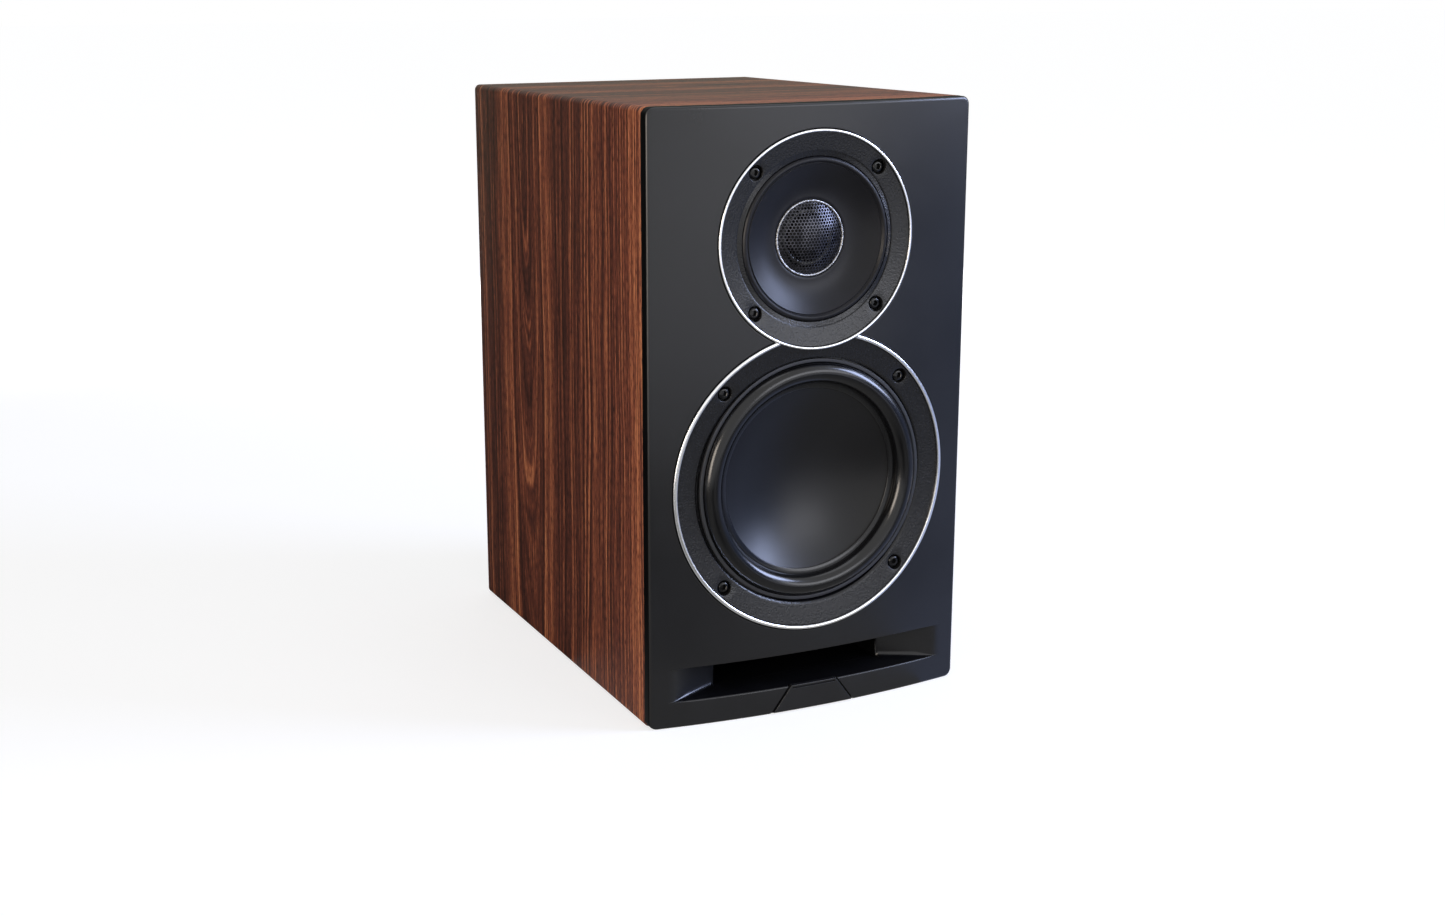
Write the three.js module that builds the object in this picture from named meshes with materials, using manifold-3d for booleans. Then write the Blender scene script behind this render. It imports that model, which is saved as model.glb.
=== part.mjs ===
// Two-way bookshelf loudspeaker: wood case, bowed front baffle, slot port, woofer, tweeter,
// terminal cup with two binding posts, and a crossover. Millimetres, +Z up, front towards -Y,
// origin under the middle of the overall box.
import * as THREE from "three";
import { mergeVertices } from "three/addons/utils/BufferGeometryUtils.js";
import Module from "manifold-3d";

const wasm = await Module();
wasm.setup();

// ---------- Driving dimensions ----------

// General
const clearance = 0.3; // between pieces that touch
const bigRound = 30; // facets of a driver's circles
const motorRound = 20; // facets of the magnets, plates and coils
const smallRound = 12; // facets of posts, screws and inductors

// Case
const sideMargin = 14.65; // from the woofer's trim ring to the side of the case
const topMargin = 14.7; // from the tweeter's trim ring to the top of the case
const caseDepth = 272.4; // side panels, front edge to back edge
const panelWall = 13;
const caseEdgeRadius = 3.5;
const backPanelWall = 13;
const backPanelInset = 2.5;
const frontPanelWall = 18;

// Front baffle, a moulding bowed about an upright axis
const baffleEdge = 6.8; // thickness at its two sides
const frontBow = 8.8; // how far the middle stands in front of the sides
const baffleCornerRadius = 5;
const bowFacets = 14;
const rebateWall = 3; // what is left behind the drivers' rebate
const rebateGap = 0.4; // shadow gap round the trim rings

// Slot port
const portFloor = 16.2;
const portHeight = 19.9;
const portMouthWidth = 180;
const portThroatWidth = 112;
const portFlareDepth = 22.1; // from the front crest to the end of the flare
const portWall = 2.9;
const portCollarWidth = 150;
const portEndToBackPanel = 45;

// Badge plate in the lip under the port, bare
const badgeTopWidth = 30;
const badgeBottomWidth = 53.4;
const badgeBottom = 0.9;
const badgeRise = 0.4; // top of the badge above the port's floor
const badgePocket = 2.2;
const proud = 0.8; // badge and trim rings in front of the baffle

// Brace and damping
const braceWall = 12;
const braceBelowTweeter = 60.7; // from the tweeter's axis to the brace's underside
const braceRim = 28;
const matThickness = 25;
const matSideRoom = 11; // bare board beside the mat
const matHeadroom = 16.4;

// Both drivers
const bandRecess = 0.7; // flange band behind the baffle's front
const screwHeadRadius = 3.6;
const screwHeadHeight = 3.2;
const screwRadius = 2;
const screwLength = 22;
const screwSocketWidth = 3;
const screwSocketDepth = 2;
const screwPocketGap = 0.9;

// Tweeter
const tweeterRadius = 62.6;
const tweeterTrimWidth = 1.4;
const tweeterTrimDepth = 6;
const tweeterScrewCircle = 55.9;
const tweeterScrewSeat = 7.4;
const tweeterStepRadius = 50.2;
const waveguideRadius = 46.9;
const waveguideLipWidth = 3.5;
const waveguideLipDepth = 3.5;
const waveguideLipChamfer = 1;
const waveguideDishDepth = 4.6;
const waveguideThroatDepth = 11.6;
const waveguideBack = 15;
const meshRadius = 22.2;
const meshWall = 0.7;
const meshCrown = 6; // its depth behind the front crest
const meshSeatStep = 1.4; // behind the waveguide's throat
const domeRadius = 12.9;
const domeHeight = 5.1;
const domeWall = 0.5;
const tweeterRollWidth = 4.4;
const tweeterRollHeight = 1.6;
const tweeterRimWidth = 2.5; // of the flat edge clamped behind the waveguide
const tweeterSurroundWall = 0.5;
const tweeterCoilLength = 6;
const tweeterCoilWall = 0.5;
const tweeterMagnetRadius = 36;
const tweeterMagnetBore = 27;
const tweeterMagnetLength = 12;
const tweeterPlateWall = 3;
const tweeterYokeWall = 4;
const tweeterYokeStep = 2; // the magnet stands out past the yoke by this
const tweeterGap = 0.4; // each side of the coil
const tweeterHoleGap = 1.5; // round the waveguide

// Woofer
const portToWoofer = 14.35; // from the slot's top edge to the trim ring
const driverOverlap = 10.05; // the tweeter's disc laps over the woofer's by this much
const wooferRadius = 89.35;
const wooferTrimWidth = 2.25;
const wooferScrewCircle = 81.5;
const wooferBandInner = 73.6;
const gasketWall = 0.6;
const gasketWidth = 12;
const gasketInset = 1; // its edge inside the basket's
const basketFlange = 2.6;
const frontRingWidth = 2.8;
const frontRingWall = 1.8;
const surroundRimWall = 0.6;
const surroundWall = 1;
const surroundCrest = 1.8; // depth of the half roll's crest behind the front crest
const coneRadius = 57.4;
const coneRimDepth = 9.9;
const coneDish = 17; // from its rim to its middle
const coneWall = 0.8;
const coneGlueRadius = 54.4;
const coneGlueWall = 0.5; // the surround's inner edge, on the cone
const wooferCoilRadius = 15;
const wooferCoilWall = 1;
const wooferCoilLength = 38;
const wooferGap = 0.5; // each side of the coil
const spiderDepth = 38;
const spiderRadius = 50;
const spiderWall = 0.6;
const spiderWave = 1.6;
const basketBackDepth = 50;
const basketBackRadius = 50;
const basketWall = 3;
const basketBoreRoom = 6; // round the voice coil
const spiderLedge = 5;
const basketWindows = 6;
const basketWindowShare = 0.72; // of the angle from one window to the next
const basketWindowRim = 2.5; // metal left before and behind a window
const wooferPlateWall = 6;
const wooferPlateRadius = 46;
const wooferMagnetRadius = 50;
const wooferMagnetBore = 23;
const wooferMagnetLength = 18;
const wooferYokeWall = 6;
const wooferHoleGap = 1.8; // round the basket

// Terminal cup and binding posts
const cupHeight = 105; // of its middle above the ground
const cupFlangeWidth = 100;
const cupFlangeHeight = 76;
const cupFlangeWall = 2.2;
const cupCorner = 5;
const cupWidth = 84;
const cupTall = 56;
const cupWall = 3;
const cupDepth = 24;
const postSpacing = 19;
const postRadius = 2.9;
const postCollarRadius = 5.5;
const postCollarLength = 3;
const postFreeLength = 18.4;
const postBoreRadius = 2.05; // for a 4 mm plug
const postBoreDepth = 14;
const washerRadius = 6;
const washerWall = 2;
const capRadius = 6.5;
const capLength = 13;
const cupScrewHeadRadius = 3.4;
const cupScrewHeadDepth = 1.9;
const cupScrewHeadEdge = 0.3; // straight edge of the countersunk head
const cupScrewRadius = 1.5;
const cupScrewLength = 12;
const cupScrewInset = 6;

// Crossover board behind the cup
const boardWidth = 120;
const boardTall = 84;
const boardWall = 1.6;
const boardStandoff = 6;
const partsInset = 7; // from the board's edges to the components
const wooferInductorSize = { bore: 8, radius: 21, length: 22 };
const tweeterInductorSize = { bore: 6, radius: 14, length: 12 };
const wooferCanSize = { radius: 9, length: 40 };
const tweeterCanSize = { radius: 7, length: 32 };
const resistorSize = { width: 24, depth: 9, height: 10 };
const resistorBelowMiddle = 1;
const postTail = 3; // past the board
const wooferLeadRadius = 1.6;
const tweeterLeadRadius = 1.4;
const leadFacets = 8;
const leadSteps = 24;

// ---------- Derived planes ----------

const portTop = portFloor + portHeight;
const wooferHeight = portTop + portToWoofer + wooferRadius; // of its axis above the ground
const tweeterHeight = wooferHeight + wooferRadius + tweeterRadius - driverOverlap;
const cabinetWidth = 2 * (wooferRadius + sideMargin);
const cabinetHeight = tweeterHeight + tweeterRadius + topMargin;
const badgeTop = portFloor + badgeRise;
const frontDepth = baffleEdge + frontBow; // front crest to the seam plane at the sides
const overallDepth = caseDepth + frontDepth + proud;
const backY = overallDepth / 2;
const crestY = backY - caseDepth - frontDepth; // the baffle's front at its middle
const seamDepth = frontDepth;
const rebateDepth = frontDepth - rebateWall;
const innerHalfWidth = cabinetWidth / 2 - panelWall;
const frontPanelFront = seamDepth + clearance;
const frontPanelBack = frontPanelFront + frontPanelWall;
const backPanelBack = backY - backPanelInset;
const backPanelFront = backPanelBack - backPanelWall;
const reach = 400; // longer than the whole object, for cutting tools
const over = 5; // how far a cutting tool starts outside what it cuts

// ---------- Small tools ----------

// Depth behind the front crest to the model's Y.
const yAt = (depth) => crestY + depth;

// How far the bowed front lies behind its crest at x.
const bowAt = (x) => frontBow * (2 * x / cabinetWidth) ** 2;

// A closed geometry to a solid with its faces outwards.
function toSolid(geometry) {
  const bare = geometry.clone();
  bare.deleteAttribute("normal");
  bare.deleteAttribute("uv");
  const merged = mergeVertices(bare, 1e-4);
  const corners = merged.index.array;
  const kept = [];
  for (let i = 0; i < corners.length; i += 3) {
    const [a, b, c] = [corners[i], corners[i + 1], corners[i + 2]];
    if (a !== b && b !== c && c !== a) kept.push(a, b, c);
  }
  const vertProperties = merged.attributes.position.array;
  const build = (list) =>
    new wasm.Manifold(new wasm.Mesh({ numProp: 3, vertProperties, triVerts: new Uint32Array(list) }));
  const made = build(kept);
  return made.volume() < 0 ? build(kept.reverse()) : made;
}

// A solid back to a geometry.
function toGeometry(solid) {
  const { vertProperties, triVerts } = solid.getMesh();
  const flat = new THREE.BufferGeometry();
  flat.setAttribute("position", new THREE.BufferAttribute(new Float32Array(vertProperties), 3));
  flat.setIndex(new THREE.BufferAttribute(new Uint32Array(triVerts), 1));
  flat.computeVertexNormals();
  return flat;
}

// A shape in X and Z, extruded along Y between two depths.
function frontCut(shape, fromDepth, toDepth) {
  const made = new THREE.ExtrudeGeometry(shape, { depth: toDepth - fromDepth, bevelEnabled: false });
  made.rotateX(Math.PI / 2);
  made.translate(0, yAt(toDepth), 0);
  return toSolid(made);
}

// A shape in X and Y, extruded upwards between two heights.
function planCut(shape, bottom, top) {
  const made = new THREE.ExtrudeGeometry(shape, { depth: top - bottom, bevelEnabled: false });
  made.translate(0, 0, bottom);
  return toSolid(made);
}

// A closed profile of [radius, depth] pairs turned about a Y axis through x and z.
function turned(profile, z, { x = 0, facets = bigRound } = {}) {
  const points = profile.map(([r, depth]) => new THREE.Vector2(r, yAt(depth)));
  if (profile[0][0] > 0) points.push(points[0].clone());
  const made = new THREE.LatheGeometry(points, facets);
  made.translate(x, 0, z);
  return toSolid(made);
}

const ring = (inner, outer, fromDepth, toDepth, z, options) =>
  turned([[inner, fromDepth], [outer, fromDepth], [outer, toDepth], [inner, toDepth]], z, options);

const motor = { facets: motorRound };

const disc = (radius, fromDepth, toDepth, z, options) =>
  turned([[0, fromDepth], [radius, fromDepth], [radius, toDepth], [0, toDepth]], z, options);

function box(xRange, yRange, zRange) {
  const [[x0, x1], [y0, y1], [z0, z1]] = [xRange, yRange, zRange];
  const made = new THREE.BoxGeometry(x1 - x0, y1 - y0, z1 - z0);
  made.translate((x0 + x1) / 2, (y0 + y1) / 2, (z0 + z1) / 2);
  return toSolid(made);
}

function roundedRectangle(halfWidth, bottom, top, radius) {
  const shape = new THREE.Shape();
  shape.moveTo(-halfWidth + radius, bottom);
  shape.absarc(halfWidth - radius, bottom + radius, radius, -Math.PI / 2, 0);
  shape.absarc(halfWidth - radius, top - radius, radius, 0, Math.PI / 2);
  shape.absarc(-halfWidth + radius, top - radius, radius, Math.PI / 2, Math.PI);
  shape.absarc(-halfWidth + radius, bottom + radius, radius, Math.PI, 1.5 * Math.PI);
  return new THREE.Shape(shape.getPoints(4));
}

const polygon = (points) => new THREE.Shape(points.map(([x, y]) => new THREE.Vector2(x, y)));

// Everything behind the bowed front, shifted back by an offset.
function behindBow(offset) {
  const half = cabinetWidth / 2 + clearance;
  const outline = [];
  for (let i = 0; i <= bowFacets; i++) {
    const x = -half + (2 * half * i) / bowFacets;
    outline.push([x, yAt(offset + bowAt(x))]);
  }
  outline.push([half, reach], [-half, reach]);
  return planCut(polygon(outline), -reach, reach);
}

// Where a driver's four screws stand: [x, z] pairs.
function screwSpots(circle, z) {
  const offset = circle / Math.SQRT2;
  return [[-offset, z + offset], [offset, z + offset], [offset, z - offset], [-offset, z - offset]];
}

// ---------- Materials ----------

const finish = (color, roughness, metalness = 0) =>
  new THREE.MeshStandardMaterial({ color, roughness, metalness });
const walnut = finish(0x6a4434, 0.5);
const fibreboard = finish(0x9c7f5c, 0.9);
const blackVinyl = finish(0x1c1c1d, 0.6);
const satinBlack = finish(0x2b2c30, 0.45);
const powderBlack = finish(0x303134, 0.6);
const blackRubber = finish(0x17171a, 0.5);
const brightAluminium = finish(0xe6e6e8, 0.2, 1);
const castAluminium = finish(0x3a3b3d, 0.5, 0.8);
const blackSteel = finish(0x111112, 0.35, 0.8);
const zincSteel = finish(0xa8abad, 0.35, 1);
const ferrite = finish(0x2d2c2c, 0.8);
const copper = finish(0xb5652e, 0.35, 1);
const brass = finish(0xc9a24a, 0.25, 1);
const feltGrey = finish(0xb8b4aa, 1);
const treatedCloth = finish(0x9a7a3c, 0.9);
const redPlastic = finish(0xb01a1c, 0.35);
const boardGreen = finish(0x1f4a2c, 0.5);
const filmYellow = finish(0xc9a63a, 0.5);

const speaker = new THREE.Group();

function add(name, solid, material) {
  const mesh = new THREE.Mesh(toGeometry(solid), material);
  mesh.name = name;
  speaker.add(mesh);
  return mesh;
}

// ---------- Screws ----------

// Socket-head screw whose head sits on a seat.
function driverScrew(x, z, seat) {
  const headBack = seat - clearance;
  const headFront = headBack - screwHeadHeight;
  const tip = seat + screwLength;
  const body = turned(
    [[0, headFront], [screwHeadRadius, headFront], [screwHeadRadius, headBack],
      [screwRadius, headBack], [screwRadius, tip - screwRadius], [0, tip]],
    z, { x, facets: smallRound });
  const hexagon = { x, facets: 6 };
  const acrossCorners = screwSocketWidth / Math.sqrt(3);
  return body.subtract(disc(acrossCorners, headFront - over, headFront + screwSocketDepth, z, hexagon));
}

// Hole for a screw: pocket for the head in front, pilot for the shank behind.
function driverScrewHole(x, z, seat) {
  const options = { x, facets: smallRound };
  return {
    pocket: disc(screwHeadRadius + screwPocketGap, -over, seat, z, options),
    pilot: disc(screwRadius + clearance, -over, seat + screwLength + 2 * clearance, z, options),
  };
}

const basketFront = rebateDepth - 2 * clearance - gasketWall - basketFlange;
const tweeterSpots = screwSpots(tweeterScrewCircle, tweeterHeight);
const wooferSpots = screwSpots(wooferScrewCircle, wooferHeight);
const tweeterHoles = tweeterSpots.map(([x, z]) => driverScrewHole(x, z, tweeterScrewSeat));
const wooferHoles = wooferSpots.map(([x, z]) => driverScrewHole(x, z, basketFront));
const pilotHoles = wasm.Manifold.union([...tweeterHoles, ...wooferHoles].map((hole) => hole.pilot));

tweeterSpots.forEach(([x, z], i) =>
  add(`tweeter_screw_${i + 1}`, driverScrew(x, z, tweeterScrewSeat), blackSteel));
wooferSpots.forEach(([x, z], i) =>
  add(`woofer_screw_${i + 1}`, driverScrew(x, z, basketFront), blackSteel));

// ---------- Case: four mitred panels ----------

const mitre = clearance / Math.SQRT2;
const half = cabinetWidth / 2;

function casePanels() {
  const outline = roundedRectangle(half, 0, cabinetHeight, caseEdgeRadius);
  const hollow = polygon([[-innerHalfWidth, panelWall], [innerHalfWidth, panelWall],
    [innerHalfWidth, cabinetHeight - panelWall], [-innerHalfWidth, cabinetHeight - panelWall]]);
  const caseBack = seamDepth + caseDepth;
  const tube = frontCut(outline, 0, caseBack)
    .subtract(frontCut(hollow, -over, caseBack + over))
    .intersect(behindBow(baffleEdge + clearance));

  // Wedges between the mitre planes, each reaching past the walls on both sides.
  const inner = panelWall + over;
  const wedge = (points) => frontCut(polygon(points), -over, caseBack + over);
  const wide = half + over - mitre;
  const narrow = half - inner - mitre;
  const flatWedge = (outerZ, innerZ) =>
    wedge([[-wide, outerZ], [wide, outerZ], [narrow, innerZ], [-narrow, innerZ]]);
  const sideWedge = (side) => wedge([
    [side * (half + over), -over + mitre], [side * (half + over), cabinetHeight + over - mitre],
    [side * (half - inner), cabinetHeight - inner - mitre], [side * (half - inner), inner + mitre]]);
  add("left_side_panel", tube.intersect(sideWedge(-1)), walnut);
  add("right_side_panel", tube.intersect(sideWedge(1)), walnut);
  add("top_panel", tube.intersect(flatWedge(cabinetHeight + over, cabinetHeight - inner)), walnut);
  add("bottom_panel", tube.intersect(flatWedge(-over, inner)), walnut);
}
casePanels();

// ---------- Slot port ----------

const ductEnd = backPanelFront - portEndToBackPanel;
const portShellBottom = panelWall + clearance;
const portShellTop = portTop + portWall;
const collarFront = portFlareDepth + clearance;

function portCut() {
  const mouth = portMouthWidth / 2;
  const throat = portThroatWidth / 2;
  const mouthDepth = bowAt(mouth);
  const [before, behind] = [yAt(-over), yAt(portFlareDepth + over)];
  const outline = [[-mouth, before], [-mouth, yAt(mouthDepth)], [-throat, yAt(portFlareDepth)],
    [-throat, behind], [throat, behind], [throat, yAt(portFlareDepth)],
    [mouth, yAt(mouthDepth)], [mouth, before]];
  return planCut(polygon(outline), portFloor, portTop);
}

function portDuct() {
  const collar = box([-portCollarWidth / 2, portCollarWidth / 2], [yAt(collarFront), yAt(frontPanelBack)],
    [portShellBottom, portShellTop]);
  const outerHalf = portThroatWidth / 2 + portWall;
  const tube = box([-outerHalf, outerHalf], [yAt(collarFront), ductEnd], [portShellBottom, portShellTop]);
  const bore = box([-portThroatWidth / 2, portThroatWidth / 2], [-reach, reach], [portFloor, portTop]);
  return collar.add(tube).subtract(bore);
}
add("port_duct", portDuct(), satinBlack);

// ---------- Badge plate ----------

// Trapezium of the badge, widened by a margin on its two slanted sides.
function badgeOutline(bottom, top, margin) {
  const slope = (badgeBottomWidth - badgeTopWidth) / 2 / (badgeTop - badgeBottom);
  const halfAt = (z) => badgeBottomWidth / 2 - slope * (z - badgeBottom) + margin;
  return polygon([[-halfAt(bottom), bottom], [halfAt(bottom), bottom],
    [halfAt(top), top], [-halfAt(top), top]]);
}
const badgeSlab = behindBow(-proud).subtract(behindBow(badgePocket - clearance));
add("badge_plate", badgeSlab.intersect(frontCut(badgeOutline(badgeBottom, badgeTop, 0), -over, seamDepth)),
  satinBlack);

// ---------- Front baffle ----------

const tweeterHoleRadius = waveguideRadius + tweeterHoleGap;
const wooferHoleRadius = wooferBandInner + wooferHoleGap;

function frontBaffle() {
  const outline = roundedRectangle(half, 0, cabinetHeight, baffleCornerRadius);
  const plate = frontCut(outline, -over, seamDepth)
    .intersect(behindBow(0).subtract(behindBow(baffleEdge)));
  const padHalf = innerHalfWidth - clearance;
  const pad = box([-padHalf, padHalf], [yAt(-over), yAt(seamDepth)],
    [panelWall + clearance, cabinetHeight - panelWall - clearance]).intersect(behindBow(baffleEdge / 2));
  const bossHalf = portCollarWidth / 2;
  const boss = box([-bossHalf, bossHalf], [yAt(baffleEdge), yAt(portFlareDepth)],
    [portShellBottom, portShellTop]).intersect(behindBow(baffleEdge / 2));
  const rebates = disc(tweeterRadius + rebateGap, -over, rebateDepth, tweeterHeight)
    .add(disc(wooferRadius + rebateGap, -over, rebateDepth, wooferHeight));
  const holes = disc(tweeterHoleRadius, -over, seamDepth + over, tweeterHeight)
    .add(disc(wooferHoleRadius, -over, seamDepth + over, wooferHeight));
  const badgeBed = frontCut(badgeOutline(-over, badgeTop + over, clearance), -over, seamDepth)
    .subtract(behindBow(badgePocket));
  return plate.add(pad).add(boss).subtract(portCut()).subtract(rebates).subtract(holes)
    .subtract(badgeBed).subtract(pilotHoles);
}
add("front_baffle", frontBaffle(), satinBlack);

// ---------- Front panel, behind the baffle ----------

function frontPanel() {
  const edge = innerHalfWidth - clearance;
  const board = box([-edge, edge], [yAt(frontPanelFront), yAt(frontPanelBack)],
    [panelWall + clearance, cabinetHeight - panelWall - clearance]);
  const holes = disc(tweeterHoleRadius, 0, frontPanelBack + over, tweeterHeight)
    .add(disc(wooferHoleRadius, 0, frontPanelBack + over, wooferHeight));
  const slotHalf = portCollarWidth / 2 + clearance;
  const slot = box([-slotHalf, slotHalf], [-reach, reach], [0, portShellTop + clearance]);
  return board.subtract(holes).subtract(slot).subtract(pilotHoles);
}
add("front_panel", frontPanel(), fibreboard);

// ---------- Window brace and damping mat ----------

const braceBottom = tweeterHeight - braceBelowTweeter;
const braceTop = braceBottom + braceWall;

function windowBrace() {
  const edge = innerHalfWidth - clearance;
  const front = yAt(frontPanelBack) + clearance;
  const back = backPanelFront - clearance;
  const board = box([-edge, edge], [front, back], [braceBottom, braceTop]);
  const window = box([-edge + braceRim, edge - braceRim], [front + braceRim, back - braceRim],
    [braceBottom - over, braceTop + over]);
  return board.subtract(window);
}
add("window_brace", windowBrace(), fibreboard);

const matHalf = innerHalfWidth - matSideRoom;
add("damping_mat",
  box([-matHalf, matHalf], [backPanelFront - clearance - matThickness, backPanelFront - clearance],
    [braceTop + clearance, cabinetHeight - panelWall - matHeadroom]),
  feltGrey);

// ---------- Tweeter ----------

const trimInner = tweeterRadius - tweeterTrimWidth;
const tweeterBore = waveguideRadius + clearance;

function tweeterFlange() {
  const core = ring(tweeterBore, trimInner - clearance, -over, rebateDepth - clearance, tweeterHeight);
  const ledge = ring(tweeterBore, tweeterRadius, tweeterTrimDepth + clearance, rebateDepth - clearance,
    tweeterHeight);
  const bowed = core.intersect(behindBow(bandRecess));
  const chamferEnd = waveguideLipDepth + waveguideLipChamfer;
  const slope = (tweeterStepRadius - tweeterBore) / (chamferEnd - bandRecess);
  const chamferRadius = tweeterBore + slope * (chamferEnd + over);
  const chamfer = turned([[0, -over], [chamferRadius, -over], [tweeterBore, chamferEnd],
    [0, chamferEnd]], tweeterHeight);
  const pockets = wasm.Manifold.union(tweeterHoles.map((hole) => hole.pocket));
  return bowed.add(ledge).subtract(chamfer).subtract(pockets).subtract(pilotHoles);
}
add("tweeter_flange", tweeterFlange(), powderBlack);

add("tweeter_trim_ring",
  ring(trimInner, tweeterRadius, -over, tweeterTrimDepth, tweeterHeight).intersect(behindBow(-proud)),
  brightAluminium);

const throatRadius = meshRadius + clearance;
const meshSeat = waveguideThroatDepth + meshSeatStep;
const tweeterRimRadius = domeRadius + tweeterRollWidth;
const domeBase = waveguideBack + clearance;

function waveguide() {
  const lipInner = waveguideRadius - waveguideLipWidth;
  const dish = [];
  const steps = 4;
  for (let i = 0; i <= steps; i++) {
    const t = i / steps;
    const r = lipInner + (throatRadius - lipInner) * t;
    const fall = waveguideThroatDepth - waveguideDishDepth;
    dish.push([r, waveguideDishDepth + fall * Math.sin(t * Math.PI / 2)]);
  }
  const bore = tweeterRimRadius + clearance;
  const lip = waveguideLipChamfer;
  return turned([[waveguideRadius, waveguideLipDepth + lip], [waveguideRadius - lip, waveguideLipDepth],
    [lipInner + lip, waveguideLipDepth], ...dish, [throatRadius, meshSeat], [bore, meshSeat],
    [bore, waveguideBack], [waveguideRadius, waveguideBack]], tweeterHeight);
}
add("tweeter_waveguide", waveguide(), satinBlack);

// Profile of a thin cap: radius at its rim, depth of its rim, and how far its middle stands forward.
function cap(radius, rimDepth, height, wall) {
  const steps = 3;
  const curve = (shrink) => Array.from({ length: steps + 1 }, (_, i) => {
    const angle = (i / steps) * (Math.PI / 2);
    const r = i < steps ? (radius - shrink) * Math.cos(angle) : 0;
    return [r, rimDepth - (height - shrink) * Math.sin(angle)];
  });
  return [...curve(wall).reverse(), ...curve(0)];
}

const meshRim = meshSeat - clearance;
add("tweeter_mesh",
  turned(cap(meshRadius, meshRim, meshRim - meshCrown, meshWall), tweeterHeight), blackSteel);
add("tweeter_dome", turned(cap(domeRadius, domeBase, domeHeight, domeWall), tweeterHeight), satinBlack);

// Half roll round the dome, with a flat rim clamped under the waveguide.
function tweeterSurround() {
  const inner = domeRadius + clearance;
  const outer = tweeterRimRadius;
  const middle = (inner + outer) / 2;
  const roll = (outer - inner) / 2;
  const front = [];
  const back = [];
  const steps = 4;
  for (let i = 0; i <= steps; i++) {
    const angle = (i / steps) * Math.PI;
    const r = middle - roll * Math.cos(angle);
    const depth = domeBase - tweeterRollHeight * Math.sin(angle);
    front.push([r, depth]);
    back.push([r, depth + tweeterSurroundWall]);
  }
  const rim = outer + tweeterRimWidth;
  return turned([...front, [rim, domeBase], [rim, domeBase + tweeterSurroundWall], ...back.reverse()],
    tweeterHeight);
}
add("tweeter_surround", tweeterSurround(), blackRubber);

const tweeterPlateFront = domeBase + tweeterSurroundWall + clearance;
const tweeterPlateBack = tweeterPlateFront + tweeterPlateWall;
const tweeterMagnetFront = tweeterPlateBack + clearance;
const tweeterMagnetBack = tweeterMagnetFront + tweeterMagnetLength;
const tweeterYokeFront = tweeterMagnetBack + clearance;
const tweeterYokeBack = tweeterYokeFront + tweeterYokeWall;
const tweeterYokeRadius = tweeterMagnetRadius - tweeterYokeStep;
const tweeterPole = domeRadius - tweeterCoilWall - tweeterGap;

const tweeterCoilFront = domeBase + clearance;
add("tweeter_voice_coil",
  ring(domeRadius - tweeterCoilWall, domeRadius, tweeterCoilFront, tweeterCoilFront + tweeterCoilLength,
    tweeterHeight, motor),
  copper);
add("tweeter_top_plate",
  ring(domeRadius + tweeterGap, tweeterMagnetRadius, tweeterPlateFront, tweeterPlateBack, tweeterHeight,
    motor),
  zincSteel);
add("tweeter_magnet",
  ring(tweeterMagnetBore, tweeterMagnetRadius, tweeterMagnetFront, tweeterMagnetBack, tweeterHeight, motor),
  ferrite);
add("tweeter_yoke",
  turned([[0, tweeterPlateFront], [tweeterPole, tweeterPlateFront], [tweeterPole, tweeterYokeFront],
    [tweeterYokeRadius, tweeterYokeFront], [tweeterYokeRadius, tweeterYokeBack], [0, tweeterYokeBack]],
  tweeterHeight, motor),
  zincSteel);

// ---------- Woofer ----------

const coverBack = basketFront - clearance;
const tweeterBite = disc(tweeterRadius + clearance, -over, rebateDepth + over, tweeterHeight);
const wooferTrimInner = wooferRadius - wooferTrimWidth;

function wooferFlange() {
  const pockets = wasm.Manifold.union(wooferHoles.map((hole) => hole.pocket));
  return ring(wooferBandInner, wooferTrimInner - clearance, -over, coverBack, wooferHeight)
    .intersect(behindBow(bandRecess)).subtract(tweeterBite).subtract(pockets);
}
add("woofer_flange", wooferFlange(), powderBlack);

add("woofer_trim_ring",
  ring(wooferTrimInner, wooferRadius, -over, coverBack, wooferHeight)
    .intersect(behindBow(-proud)).subtract(tweeterBite),
  brightAluminium);

const wooferGasketBack = rebateDepth - clearance;
const gasketOuter = wooferRadius - gasketInset;
add("woofer_gasket",
  ring(gasketOuter - gasketWidth, gasketOuter, wooferGasketBack - gasketWall, wooferGasketBack,
    wooferHeight)
    .subtract(tweeterBite).subtract(pilotHoles),
  blackRubber);

const seatRadius = wooferBandInner - clearance; // outer edge of the front ring and the surround's rim
const rollOuter = seatRadius - frontRingWidth;
const rimBack = basketFront - clearance;
const rimFront = rimBack - surroundRimWall;
const frontRingBack = rimFront - clearance;

add("woofer_front_ring",
  ring(rollOuter, seatRadius, frontRingBack - frontRingWall, frontRingBack, wooferHeight), blackRubber);

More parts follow.
